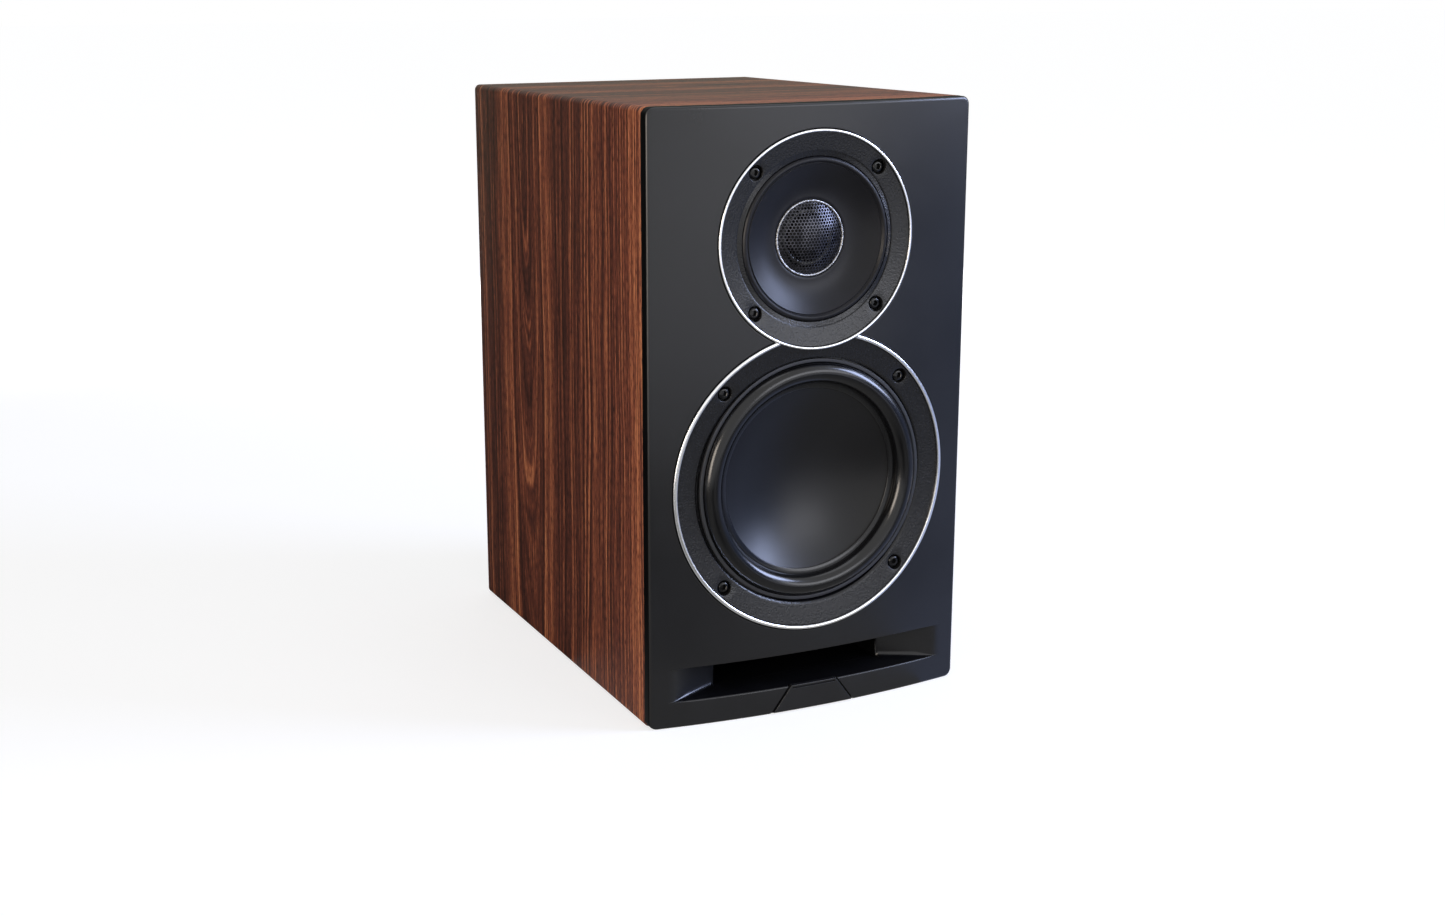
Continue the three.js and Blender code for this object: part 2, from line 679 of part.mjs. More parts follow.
// Cone basket: flange, six windows in the sloping wall, spider ledge and back ring.
function wooferBasket() {
  const flangeBack = basketFront + basketFlange;
  const top = rollOuter;
  const ledge = spiderDepth + clearance;
  const ledgeInner = spiderRadius - spiderLedge;
  const bore = wooferCoilRadius + wooferCoilWall + basketBoreRoom;
  const back = basketBackDepth + basketWall;
  const shell = turned([
    [top, basketFront], [wooferRadius, basketFront], [wooferRadius, flangeBack],
    [wooferBandInner, flangeBack], [spiderRadius + basketWall, ledge], [basketBackRadius, back],
    [bore, back], [bore, basketBackDepth], [ledgeInner, basketBackDepth], [ledgeInner, ledge],
    [spiderRadius, ledge], [top, flangeBack]], wooferHeight);
  const pitch = 2 * Math.PI / basketWindows;
  const halfAngle = basketWindowShare * pitch / 2;
  const corner = (angle) => [reach * Math.cos(angle), wooferHeight + reach * Math.sin(angle)];
  const windows = Array.from({ length: basketWindows }, (_, i) => {
    const middle = (i + 0.5) * pitch;
    const wedge = polygon([[0, wooferHeight], corner(middle - halfAngle), corner(middle + halfAngle)]);
    return frontCut(wedge, flangeBack + basketWindowRim, ledge - basketWindowRim);
  });
  return shell.subtract(wasm.Manifold.union(windows)).subtract(tweeterBite).subtract(pilotHoles);
}
add("woofer_basket", wooferBasket(), castAluminium);

// Half roll of rubber between the basket's seat and the cone's rim.
function wooferSurround() {
  const inner = coneRadius + clearance;
  const innerDepth = coneRimDepth - surroundWall;
  const steps = 6;
  const front = [];
  const back = [];
  for (let i = 0; i <= steps; i++) {
    const t = i / steps;
    const r = inner + (rollOuter - inner) * (1 - Math.cos(t * Math.PI)) / 2;
    const base = innerDepth + (rimFront - innerDepth) * t;
    const rise = (innerDepth + rimFront) / 2 - surroundCrest;
    const depth = base - rise * Math.sin(t * Math.PI);
    front.push([r, depth]);
    back.push([r, depth + (t < 1 ? surroundWall : surroundRimWall)]);
  }
  const flapBack = coneRimDepth - clearance;
  return turned([[coneGlueRadius, flapBack - coneGlueWall], ...front, [seatRadius, rimFront],
    [seatRadius, rimBack], ...back.reverse(), [coneGlueRadius, flapBack]], wooferHeight);
}
add("woofer_surround", wooferSurround(), blackRubber);

// Depth of the cone's front at a radius.
const coneDepthAt = (r) => coneRimDepth + coneDish * (1 - (r / coneRadius) ** 2);

// One-piece dish without a dust cap.
function wooferCone() {
  const steps = 5;
  const front = [];
  const back = [];
  for (let i = 0; i <= steps; i++) {
    const r = coneRadius * (1 - i / steps);
    front.push([r, coneDepthAt(r)]);
    back.push([r, coneDepthAt(r) + coneWall]);
  }
  return turned([...front.reverse(), ...back], wooferHeight);
}
add("woofer_cone", wooferCone(), satinBlack);

const coilFront = coneDepthAt(wooferCoilRadius) + coneWall + clearance;
const coilOuter = wooferCoilRadius + wooferCoilWall;
add("woofer_voice_coil",
  ring(wooferCoilRadius, coilOuter, coilFront, coilFront + wooferCoilLength, wooferHeight, motor),
  copper);

// Corrugated spider from the coil to the basket's ledge.
function wooferSpider() {
  const inner = coilOuter + clearance;
  const waves = 3;
  const steps = 2 * waves;
  const front = [];
  const back = [];
  for (let i = 0; i <= steps; i++) {
    const r = inner + (spiderRadius - clearance - inner) * (i / steps);
    const depth = spiderDepth - spiderWall - (i % 2 ? spiderWave : 0);
    front.push([r, depth]);
    back.push([r, depth + spiderWall]);
  }
  return turned([...front, ...back.reverse()], wooferHeight);
}
add("woofer_spider", wooferSpider(), treatedCloth);

const plateFront = basketBackDepth + basketWall + clearance;
const plateBack = plateFront + wooferPlateWall;
const magnetFront = plateBack + clearance;
const magnetBack = magnetFront + wooferMagnetLength;
const yokeFront = magnetBack + clearance;
const yokeBack = yokeFront + wooferYokeWall;
const wooferPole = wooferCoilRadius - wooferGap;
add("woofer_top_plate",
  ring(coilOuter + wooferGap, wooferPlateRadius, plateFront, plateBack, wooferHeight, motor), zincSteel);
add("woofer_magnet",
  ring(wooferMagnetBore, wooferMagnetRadius, magnetFront, magnetBack, wooferHeight, motor), ferrite);
add("woofer_yoke",
  turned([[0, plateFront], [wooferPole, plateFront], [wooferPole, yokeFront],
    [wooferPlateRadius, yokeFront], [wooferPlateRadius, yokeBack], [0, yokeBack]], wooferHeight, motor),
  zincSteel);

// ---------- Terminal cup ----------

// Depths on the back are counted from the front crest too.
const backDepth = backY - crestY;
const cupFloor = backDepth - cupDepth;
const cupFloorBack = cupFloor - cupWall;
const flangeInside = backDepth - cupFlangeWall;

const cupSpots = [[-1, 1], [1, 1], [1, -1], [-1, -1]].map(([sx, sz]) =>
  [sx * (cupFlangeWidth / 2 - cupScrewInset), cupHeight + sz * (cupFlangeHeight / 2 - cupScrewInset)]);

// Countersunk screw with its head flush in the flange; grow makes its clearance hole.
function cupScrew(x, z, grow = 0) {
  const headEdge = backDepth - clearance;
  const head = headEdge + (grow > 0 ? over : 0);
  const neck = headEdge - cupScrewHeadDepth;
  const tip = headEdge - cupScrewLength - grow;
  const shank = cupScrewRadius + grow;
  const headRadius = cupScrewHeadRadius + grow;
  return turned([[0, tip], [shank, tip + cupScrewRadius], [shank, neck - grow],
    [headRadius, headEdge - cupScrewHeadEdge], [headRadius, head], [0, head]],
  z, { x, facets: smallRound });
}
const cupScrewHoles = wasm.Manifold.union(cupSpots.map(([x, z]) => cupScrew(x, z, clearance)));
cupSpots.forEach(([x, z], i) => add(`terminal_screw_${i + 1}`, cupScrew(x, z), blackSteel));

const postSpots = { red: postSpacing / 2, black: -postSpacing / 2 };
const postHoles = wasm.Manifold.union(Object.values(postSpots).map((x) =>
  disc(postRadius + clearance, seamDepth, cupFloor + over, cupHeight, { x, facets: smallRound })));

const cupShape = (margin) => roundedRectangle(cupWidth / 2 + margin, cupHeight - cupTall / 2 - margin,
  cupHeight + cupTall / 2 + margin, cupCorner + margin);

function terminalCup() {
  const flange = roundedRectangle(cupFlangeWidth / 2, cupHeight - cupFlangeHeight / 2,
    cupHeight + cupFlangeHeight / 2, cupCorner);
  return frontCut(flange, flangeInside, backDepth)
    .add(frontCut(cupShape(0), cupFloorBack, backDepth - cupFlangeWall / 2))
    .subtract(frontCut(cupShape(-cupWall), cupFloor, backDepth + over))
    .subtract(postHoles)
    .subtract(cupScrewHoles);
}
add("terminal_cup", terminalCup(), satinBlack);

function backPanel() {
  const edge = innerHalfWidth - clearance;
  const board = box([-edge, edge], [backPanelFront, backPanelBack],
    [panelWall + clearance, cabinetHeight - panelWall - clearance]);
  const opening = frontCut(cupShape(clearance), seamDepth, backDepth + over);
  return board.subtract(opening).subtract(cupScrewHoles);
}
add("back_panel", backPanel(), blackVinyl);

// ---------- Binding posts ----------

const boardBack = cupFloorBack - boardStandoff;
const boardFront = boardBack - boardWall;
const postTip = boardFront - postTail;
const collarStart = cupFloor + clearance;
const collarEnd = collarStart + postCollarLength;
const washerStart = collarEnd + clearance;
const capStart = washerStart + washerWall + clearance;
const postEnd = cupFloor + postFreeLength;
const boreEnd = postEnd - postBoreDepth;

function bindingPost(color, x, capMaterial) {
  const options = { x, facets: smallRound };
  const bore = postRadius + clearance;
  add(`${color}_post_stud`,
    turned([[0, postTip], [postRadius, postTip], [postRadius, collarStart],
      [postCollarRadius, collarStart], [postCollarRadius, collarEnd], [postRadius, collarEnd],
      [postRadius, postEnd], [postBoreRadius, postEnd], [postBoreRadius, boreEnd], [0, boreEnd]],
    cupHeight, options),
    brass);
  add(`${color}_post_washer`,
    ring(bore, washerRadius, washerStart, washerStart + washerWall, cupHeight, options), brass);
  add(`${color}_post_cap`,
    ring(bore, capRadius, capStart, capStart + capLength, cupHeight, options), capMaterial);
}
bindingPost("red", postSpots.red, redPlastic);
bindingPost("black", postSpots.black, satinBlack);

// ---------- Crossover ----------

const partsPlane = boardFront - clearance; // depth where the components stand

function crossoverBoard() {
  const board = box([-boardWidth / 2, boardWidth / 2], [yAt(boardFront), yAt(boardBack)],
    [cupHeight - boardTall / 2, cupHeight + boardTall / 2]);
  return board.subtract(postHoles);
}
add("crossover_board", crossoverBoard(), boardGreen);

// Places on the board, counted from its edges so that they follow it.
const boardRight = boardWidth / 2 - partsInset;
const boardTop = cupHeight + boardTall / 2 - partsInset;
const boardBottom = cupHeight - boardTall / 2 + partsInset;

// Round coil standing on the board.
const inductor = ({ bore, radius, length }, x, z) =>
  ring(bore, radius, partsPlane - length, partsPlane, z, { x, facets: smallRound });

// Capacitor can lying along X on the board.
function can({ radius, length }, x, z) {
  const made = new THREE.CylinderGeometry(radius, radius, length, smallRound);
  made.rotateZ(Math.PI / 2);
  made.translate(x, yAt(partsPlane) - radius, z);
  return toSolid(made);
}

function resistor({ width, depth, height }) {
  const top = cupHeight - resistorBelowMiddle + height / 2;
  const foot = yAt(partsPlane);
  return box([boardRight - width, boardRight], [foot - depth, foot], [top - height, top]);
}
add("woofer_inductor",
  inductor(wooferInductorSize, wooferInductorSize.radius - boardRight,
    boardTop - wooferInductorSize.radius),
  copper);
add("tweeter_inductor",
  inductor(tweeterInductorSize, boardRight - tweeterInductorSize.radius,
    boardTop - tweeterInductorSize.radius),
  copper);
add("woofer_capacitor",
  can(wooferCanSize, boardRight - wooferCanSize.length / 2, boardBottom + wooferCanSize.radius),
  filmYellow);
add("tweeter_capacitor",
  can(tweeterCanSize, tweeterCanSize.length / 2 - boardRight, boardBottom + tweeterCanSize.radius),
  filmYellow);
add("tweeter_resistor", resistor(resistorSize), feltGrey);

// ---------- Leads ----------

function lead(points, radius) {
  const path = new THREE.CatmullRomCurve3(points.map(([x, y, z]) => new THREE.Vector3(x, y, z)));
  const section = new THREE.Shape();
  section.absarc(0, 0, radius, 0, 2 * Math.PI);
  const outline = new THREE.Shape(section.getPoints(leadFacets).slice(0, leadFacets));
  const sweep = { steps: leadSteps, extrudePath: path, bevelEnabled: false };
  return toSolid(new THREE.ExtrudeGeometry(outline, sweep));
}
const leadStart = yAt(partsPlane);
add("woofer_lead",
  lead([[16, leadStart, 118], [17, leadStart - 8, 119], [36, leadStart - 24, 122], [58, 30, 128],
    [66, 0, 134], [68, -40, 139], [66, -72, 140], [58, yAt(basketBackDepth) - 1, 140]], wooferLeadRadius),
  blackRubber);
add("tweeter_lead",
  lead([[12, leadStart, 136], [12, leadStart - 8, 138], [14, leadStart - 18, 160], [16, 40, 200],
    [16, 10, 236], [15, -30, 262], [12, -76, 276], [8, yAt(tweeterYokeBack) + 3, 280]],
  tweeterLeadRadius),
  blackRubber);

export default speaker;
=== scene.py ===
# Bookshelf loudspeaker: walnut-wrapped case, bowed satin baffle, slot port, two round drivers.
import bpy
import bmesh
import math
import numpy as np
from mathutils import Matrix, Vector
from mathutils.geometry import delaunay_2d_cdt


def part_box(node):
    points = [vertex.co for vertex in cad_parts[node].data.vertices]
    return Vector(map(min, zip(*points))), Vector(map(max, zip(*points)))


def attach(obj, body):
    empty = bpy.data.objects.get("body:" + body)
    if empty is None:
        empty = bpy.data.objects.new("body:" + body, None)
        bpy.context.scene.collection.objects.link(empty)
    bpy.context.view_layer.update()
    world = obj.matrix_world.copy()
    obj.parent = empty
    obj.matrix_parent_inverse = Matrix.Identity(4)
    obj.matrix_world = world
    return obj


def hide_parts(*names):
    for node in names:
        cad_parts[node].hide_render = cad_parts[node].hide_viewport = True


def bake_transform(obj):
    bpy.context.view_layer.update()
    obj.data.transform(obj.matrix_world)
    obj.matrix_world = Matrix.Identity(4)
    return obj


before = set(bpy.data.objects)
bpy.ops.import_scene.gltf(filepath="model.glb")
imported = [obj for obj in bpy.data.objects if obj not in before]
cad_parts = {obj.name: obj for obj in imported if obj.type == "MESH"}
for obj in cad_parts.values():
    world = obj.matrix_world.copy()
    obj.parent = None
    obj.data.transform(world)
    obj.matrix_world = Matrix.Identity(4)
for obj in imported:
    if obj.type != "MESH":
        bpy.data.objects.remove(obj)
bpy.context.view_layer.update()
print("frame loaded")

mm = 0.001
scene = bpy.context.scene


def corners(node):
    # lowest and highest corner of a CAD node, in millimetres
    low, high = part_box(node)
    return low / mm, high / mm


def middle(node):
    low, high = corners(node)
    return (low + high) / 2


baffleLow, baffleHigh = corners("front_baffle")
crest = baffleLow.y  # frontmost line of the bowed baffle
halfWidth = baffleHigh.x
caseHeight = baffleHigh.z
backY = corners("left_side_panel")[1].y
wooferZ = middle("woofer_cone").z
tweeterZ = middle("tweeter_dome").z

front = {
    "bow": 8.8,  # how far the middle stands in front of the sides
    "edge": 6.8,  # thickness of the moulding at its sides
    "corner": 5,
    "edgeRound": 1.7,
    "rearRound": 0.3,
    "hold": 0.35,  # narrow strip that keeps the face's shading flat up to its rounded edges
    "padWall": 13.3,  # from the outside to the moulding's inner pad
    "seam": 15.6,  # depth of the flat back behind the crest
    "rebate": 12.6,
    "rebateRound": 0.35,
    "wooferRebate": 89.95,
    "tweeterRebate": 63.2,
    "wooferHole": 75.4,
    "tweeterHole": 48.4,
}


def bow(x):
    return front["bow"] * (x / halfWidth) ** 2


def faceY(x, depth):
    # depth counted from the bowed front at this x
    return crest + bow(x) + depth


def colour(text):
    # sRGB hex to linear
    parts = [int(text[i:i + 2], 16) / 255 for i in (1, 3, 5)]
    linear = [c / 12.92 if c <= 0.04045 else ((c + 0.055) / 1.055) ** 2.4 for c in parts]
    return (*linear, 1)


def addNode(tree, kind, inputs=None, stops=(), **settings):
    # an input takes a value, a socket to link, or a node, whose first output is linked;
    # stops are the (place, hex) pairs of a colour ramp
    made = tree.nodes.new(kind)
    for name, value in settings.items():
        setattr(made, name, value)
    for k, (place, text) in enumerate(stops):
        elements = made.color_ramp.elements
        element = elements[k] if k < len(elements) else elements.new(1)
        element.position, element.color = place, colour(text)
    for key, value in (inputs or {}).items():
        if isinstance(value, bpy.types.Node):
            value = value.outputs[0]
        if isinstance(value, bpy.types.NodeSocket):
            tree.links.new(value, made.inputs[key])
        else:
            made.inputs[key].default_value = value
    return made


def emptyTree(owner):
    # node tree of a new material or world, with nothing in it
    owner.use_nodes = True
    owner.node_tree.nodes.clear()
    return owner.node_tree


def newObject(name, data):
    made = bpy.data.objects.new(name, data)
    scene.collection.objects.link(made)
    return made


def newMaterial(name):
    material = bpy.data.materials.new(name)
    return material, emptyTree(material)


def dress(tree, fixed, tone, pattern, rough, relief, reach=(0.0, 1.0), height=None):
    # ends a material: the shader's fixed values and colour, a roughness over the pattern's
    # reach, and a bump of (strength, distance) from the pattern or a height of its own
    spread = addNode(tree, "ShaderNodeMapRange",
                     {"Value": pattern, "From Min": reach[0], "From Max": reach[1],
                      "To Min": rough[0], "To Max": rough[1]})
    bump = addNode(tree, "ShaderNodeBump", {"Height": height or pattern, "Strength": relief[0],
                                            "Distance": relief[1]})
    shader = addNode(tree, "ShaderNodeBsdfPrincipled",
                     {**fixed, "Base Color": tone, "Roughness": spread, "Normal": bump})
    addNode(tree, "ShaderNodeOutputMaterial", {"Surface": shader})


def grained(name, dark, light, patchSize, gritSize, rough, relief, speckle, fixed=()):
    # mottled colour and roughness over patches, with a fine grit as bump, on Object coordinates
    material, tree = newMaterial(name)
    place = addNode(tree, "ShaderNodeTexCoord").outputs["Object"]
    patch, grit = (addNode(tree, "ShaderNodeTexNoise",
                           {"Vector": place, "Scale": 1 / (size * mm), "Detail": detail})
                   for size, detail in ((patchSize, 4.0), (gritSize, 2.0)))
    summed = addNode(tree, "ShaderNodeMath", {0: grit, 1: speckle, 2: patch},
                     operation="MULTIPLY_ADD")
    tone = addNode(tree, "ShaderNodeValToRGB", {"Fac": summed}, [(0.35, dark), (0.85, light)])
    dress(tree, {"IOR": 1.5, **dict(fixed)}, tone, patch, rough, (relief, gritSize * mm * 0.5),
          (0.3, 0.7), grit)
    return material


def newShape():
    return {"points": [], "faces": [], "uvs": []}


def addRing(shape, ring):
    first = len(shape["points"])
    shape["points"].extend([tuple(map(float, p)) for p in ring])
    return list(range(first, first + len(ring)))


def joinRings(shape, a, b):
    for i in range(len(a)):
        j = (i + 1) % len(a)
        shape["faces"].append((a[i], a[j], b[j], b[i]))


def stackRings(shape, rings):
    # rows of quads through rings of equal length; gives back the rings' indices
    made = [addRing(shape, ring) for ring in rings]
    for a, b in zip(made, made[1:]):
        joinRings(shape, a, b)
    return made


def capEnds(shape, rings):
    # closes both ends of a stack
    shape["faces"] += [tuple(rings[0]), tuple(rings[-1])]


def quarter(steps):
    # a rounded edge's way in and its depth, as shares of its radius: (1, 0) to (0, 1)
    turns = [k / steps * math.pi / 2 for k in range(steps + 1)]
    return [(1 - math.sin(a), 1 - math.cos(a)) for a in turns]


sliver = 4e-4  # twice the smallest triangle's area that is kept, in square mm


def insideLoop(loop, spots):
    # even-odd test for many spots against one closed loop
    x, z = spots[:, 0][:, None], spots[:, 1][:, None]
    ax, az = loop[:, 0][None], loop[:, 1][None]
    bx, bz = np.roll(loop[:, 0], -1)[None], np.roll(loop[:, 1], -1)[None]
    crosses = (az > z) != (bz > z)
    slope = np.where(bz == az, 1, bz - az)
    return (crosses & (x < (bx - ax) * (z - az) / slope + ax)).sum(1) % 2 == 1


def fillBetween(shape, loops, yAt, spacing=None):
    # triangles between closed loops of the shape's own points, seen from the front;
    # the first loop is the outside, the rest are holes, and spacing adds inner points
    chosen = [i for loop in loops for i in loop]
    flat = [np.array([shape["points"][i] for i in loop])[:, [0, 2]] for loop in loops]
    spots = np.concatenate(flat)
    edges, start = [], 0
    for loop in loops:
        count = len(loop)
        edges += [(start + k, start + (k + 1) % count) for k in range(count)]
        start += count

    def between(places):
        kept = insideLoop(flat[0], places)
        for hole in flat[1:]:
            kept &= ~insideLoop(hole, places)
        return kept

    if spacing:
        low, high = flat[0].min(0), flat[0].max(0)
        grid = np.stack(np.meshgrid(*[np.arange(low[k] + spacing / 2, high[k], spacing)
                                      for k in (0, 1)]), -1).reshape(-1, 2)
        grid = grid[between(grid)]
        gap = np.array([np.hypot(*(spots - g).T).min() for g in grid])
        grid = grid[gap > spacing * 0.45]
        chosen += addRing(shape, [(g[0], yAt(*g), g[1]) for g in grid])
        spots = np.concatenate([spots, grid])
    made = delaunay_2d_cdt([Vector(s) for s in spots], edges, [], 0, 1e-7)
    places = np.array([tuple(v) for v in made[0]])
    triangles = np.array(made[2])
    kept = between(places[triangles].mean(1))
    # slivers along straight runs of points lie outside them by a rounding error
    a, b = (places[triangles[:, k]] - places[triangles[:, 0]] for k in (1, 2))
    kept &= np.abs(a[:, 0] * b[:, 1] - a[:, 1] * b[:, 0]) > sliver
    for triangle in triangles[kept]:
        shape["faces"].append(tuple(chosen[made[3][v][0]] for v in triangle))


def smoothed(mesh, sharp):
    # smooth shading, but for edges sharper than this many degrees
    mesh.shade_smooth()
    mesh.set_sharp_from_angle(angle=math.radians(sharp))


def weld(mesh, sharp, merge=0.002):
    # merges doubles, turns the faces outwards and marks the sharp edges
    work = bmesh.new()
    work.from_mesh(mesh)
    bmesh.ops.remove_doubles(work, verts=work.verts, dist=merge * mm)
    bmesh.ops.dissolve_degenerate(work, edges=work.edges, dist=1e-7)
    wires = [e for e in work.edges if not e.link_faces]
    bmesh.ops.delete(work, geom=wires, context="EDGES")
    bmesh.ops.recalc_face_normals(work, faces=work.faces)
    loose = [e for e in work.edges if len(e.link_faces) != 2]
    if loose:
        print("  open edges in", mesh.name, len(loose))
    work.to_mesh(mesh)
    work.free()
    smoothed(mesh, sharp)


def toObject(name, shape, sharp=32):
    mesh = bpy.data.meshes.new(name)
    mesh.from_pydata([tuple(c * mm for c in p) for p in shape["points"]], [], shape["faces"])
    if shape["uvs"]:
        layer = mesh.uv_layers.new(name="grain")
        layer.data.foreach_set("uv", np.concatenate(shape["uvs"]).ravel())
    weld(mesh, sharp)
    return newObject(name, mesh)


def settle(piece, finish, nodes=(), body="cabinet"):
    # gives a finished piece its material, hides the CAD nodes it stands in for, and hangs it on its
    # body
    piece.data.materials.clear()
    piece.data.materials.append(materials[finish])
    if nodes:
        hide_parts(*nodes)
    if body:
        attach(piece, body)


def paintSome(piece, finish, chosen):
    # a second finish on the faces that chosen(x, y, z, normal) picks, places in millimetres
    piece.data.materials.append(materials[finish])
    for face in piece.data.polygons:
        if chosen(*(face.center / mm), face.normal):
            face.material_index = 1


def circle(centre, radius, count=96):
    turns = np.linspace(0, 2 * math.pi, count, endpoint=False)
    return np.stack([centre[0] + radius * np.cos(turns), centre[1] + radius * np.sin(turns)], 1)


def arc(centreZ, radius, start, end, count):
    # points from start up to, but without, end
    turns = [start + (end - start) * k / count for k in range(count)]
    return [(radius * math.cos(t), centreZ + radius * math.sin(t)) for t in turns]


def crossing(big, small):
    # where the woofer's circle meets the tweeter's: the angle on each, from its own centre
    apart = tweeterZ - wooferZ
    along = (apart ** 2 + big ** 2 - small ** 2) / (2 * apart)
    side = math.sqrt(big ** 2 - along ** 2)
    return math.atan2(along, side), math.atan2(along - apart, side)


def atFace(ring, depth):
    return [(x, faceY(x, depth), z) for x, z in ring]


def atDepth(ring, depth):
    return [(x, crest + depth, z) for x, z in ring]


def bowed(depth):
    # the y of any place on the baffle's bowed front, and so much behind it
    return lambda x, z: faceY(x, depth)


def flatAt(depth):
    return lambda x, z: crest + depth


def softened(profile, steps=4):
    # rounds each corner of a profile of (radius, depth, follow, cut) points; follow is the
    # share of the baffle's bow that the point takes, cut how far the rounding starts from it
    points = [tuple(p) + (0,) * (4 - len(p)) for p in profile]
    made = []
    for i, (r, d, follow, cut) in enumerate(points):
        here = np.array([r, d, follow])
        if not cut:
            made.append(here)
            continue
        before = np.array(points[i - 1][:3])
        after = np.array(points[(i + 1) % len(points)][:3])
        a = here + (before - here) * min(0.5, cut / np.linalg.norm((before - here)[:2]))
        b = here + (after - here) * min(0.5, cut / np.linalg.norm((after - here)[:2]))
        for k in range(steps + 1):
            t = k / steps
            made.append((1 - t) ** 2 * a + 2 * t * (1 - t) * here + t * t * b)
    return made


def turned(profile, centreZ, count=144, x=0.0, span=None, axisY=None):
    # solid turned about a line along Y from a closed profile; span(radius) gives the two
    # ends of the arc where the turn isn't whole
    shape = newShape()
    startY = crest if axisY is None else axisY
    rings = []
    steps = count + 1 if span else count
    for k in range(steps):
        ring = []
        for r, depth, follow in profile:
            a, b = span(r) if span else (0, 2 * math.pi)
            angle = a + (b - a) * k / count
            px = x + r * math.cos(angle)
            ring.append((px, startY + depth + follow * bow(px), centreZ + r * math.sin(angle)))
        rings.append(addRing(shape, ring))
    for k in range(count):
        joinRings(shape, rings[k], rings[(k + 1) % steps])
    if span:
        capEnds(shape, rings)
    return shape


def roundedLoop(half, bottom, top, radius, acrossCount=26, upCount=40, cornerCount=7):
    # rounded rectangle with the same count of points whatever its size, from the middle
    # of its bottom edge and on to the right
    low, high, side = bottom + radius, top - radius, half - radius
    runs = [((0, bottom), (side, bottom), acrossCount // 2), ((half, low), (half, high), upCount),
            ((side, top), (-side, top), acrossCount), ((-half, high), (-half, low), upCount),
            ((-side, bottom), (0, bottom), acrossCount // 2)]
    centres = [(side, low), (side, high), (-side, high), (-side, low)]
    loop = []
    for quarterTurn, ((ax, az), (bx, bz), count) in enumerate(runs):
        loop += [(ax + (bx - ax) * k / count, az + (bz - az) * k / count) for k in range(count)]
        for k in range(cornerCount if quarterTurn < 4 else 0):
            (cx, cz), a = centres[quarterTurn], (quarterTurn + k / cornerCount - 1) * math.pi / 2
            loop.append((cx + radius * math.cos(a), cz + radius * math.sin(a)))
    return np.array(loop)


camera = {
    "place": (-510.16, -1034.46, 420.63),  # mm
    "azimuth": 24.296,
    "elevation": 13.184,
    "roll": -0.397,
    "lens": 1815.77 * 36 / 1445,  # mm, on a sensor 36 mm wide
    "shiftX": 0.0521,
    "shiftY": -0.03,
}


def makeCamera():
    data = bpy.data.cameras.new("camera")
    data.sensor_width = 36
    data.lens = camera["lens"]
    data.shift_x, data.shift_y = camera["shiftX"], camera["shiftY"]
    data.clip_start, data.clip_end = 0.05, 50
    az, el, roll = (math.radians(camera[k]) for k in ("azimuth", "elevation", "roll"))
    ahead = Vector((math.sin(az) * math.cos(el), math.cos(az) * math.cos(el), -math.sin(el)))
    level = Vector((math.cos(az), -math.sin(az), 0))
    above = level.cross(ahead)
    right = math.cos(roll) * level + math.sin(roll) * above
    up = right.cross(ahead)
    turn = Matrix((right, up, -ahead)).transposed().to_4x4()
    scene.camera = newObject("camera", data)
    scene.camera.matrix_world = Matrix.Translation(Vector(camera["place"]) * mm) @ turn


lamps = {
    # name: place in metres, what it points at, width, height, watts, colour
    "keyLeft": ((-1.75, -1.05, 0.42), (0, 0, 0.2), 0.7, 0.9, 19.5, "#fff1e2"),
    "panelRight": ((1.58, -0.88, 0.92), (0, 0, 0.2), 0.7, 0.85, 40, "#c0cffa"),
    "frontSoft": ((1.15, -2.35, 0.78), (0, 0, 0.2), 1.6, 0.8, 13, "#f4f6ff"),
    "overhead": ((0.1, -0.2, 1.8), (0, 0, 0.2), 1.3, 1.1, 4.5, "#f3f6ff"),
    # kept below the top's level, so that it lights the back alone
    "backFill": ((0.5, 1.5, 0.2), (0, 0.14, 0.15), 1.2, 0.28, 10, "#ffffff"),
}
studio = {
    "worldTint": "#f4f6fa",
    "worldStrength": 0.32,
    "floorReach": 25,  # metres
    "floorGlow": (0.72, 0.88),  # beside the object and far off: lit paper adds the rest to white
    "glowReach": (1.0, 1.6),  # metres from the object where the first ends and the second starts
    "floorAlbedo": "#a8a8a8",
}
flags = {
    # name: sRGB shade of its glow (a painted reflection), radius, height of its wall (0 lies on the
    # floor), and the arc it covers in degrees clockwise from straight behind
    "floorRear": ("#262626", 2.4, 0, (-95, 95)),
    "floorFront": ("#a6a6a6", 0.95, 0, (150, 265)),
    # bluish glows: painted cool reflections on the parts that face them
    "floorRight": ("#b2bee2", 0.95, 0, (95, 150)),
    "tintRight": ("#8090b8", 0.97, 0.3, (100, 148)),
    "wallLeft": ("#303030", 2.4, 1.4, (-120, -15)),
    # greenish glow behind: a painted reflection that greys the top's walnut towards olive
    "wallRear": ("#6f9c80", 2.4, 1.8, (-15, 60)),
    "wallRight": ("#303030", 2.4, 1.4, (60, 95)),
}
flagSteps = 24
flagLift = 0.0004  # metres above the floor for the cards that lie on it


def makeLights():
    for name, (place, target, width, height, watts, tint) in lamps.items():
        data = bpy.data.lights.new(name, "AREA")
        data.shape = "RECTANGLE"
        data.size, data.size_y = width, height
        data.energy = watts
        data.color = colour(tint)[:3]
        lamp = newObject(name, data)
        lamp.location = place
        lamp.rotation_euler = (Vector(target) - Vector(place)).to_track_quat("-Z", "Y").to_euler()
        lamp.visible_camera = False


def seenDirectly(tree):
    # 1 for rays that show the background itself: seen, mirrored or through glass
    path = addNode(tree, "ShaderNodeLightPath").outputs
    either = addNode(tree, "ShaderNodeMath", {0: path["Is Camera Ray"], 1: path["Is Glossy Ray"]},
                     operation="MAXIMUM")
    return addNode(tree, "ShaderNodeMath", {0: either, 1: path["Is Transmission Ray"]},
                   operation="MAXIMUM")


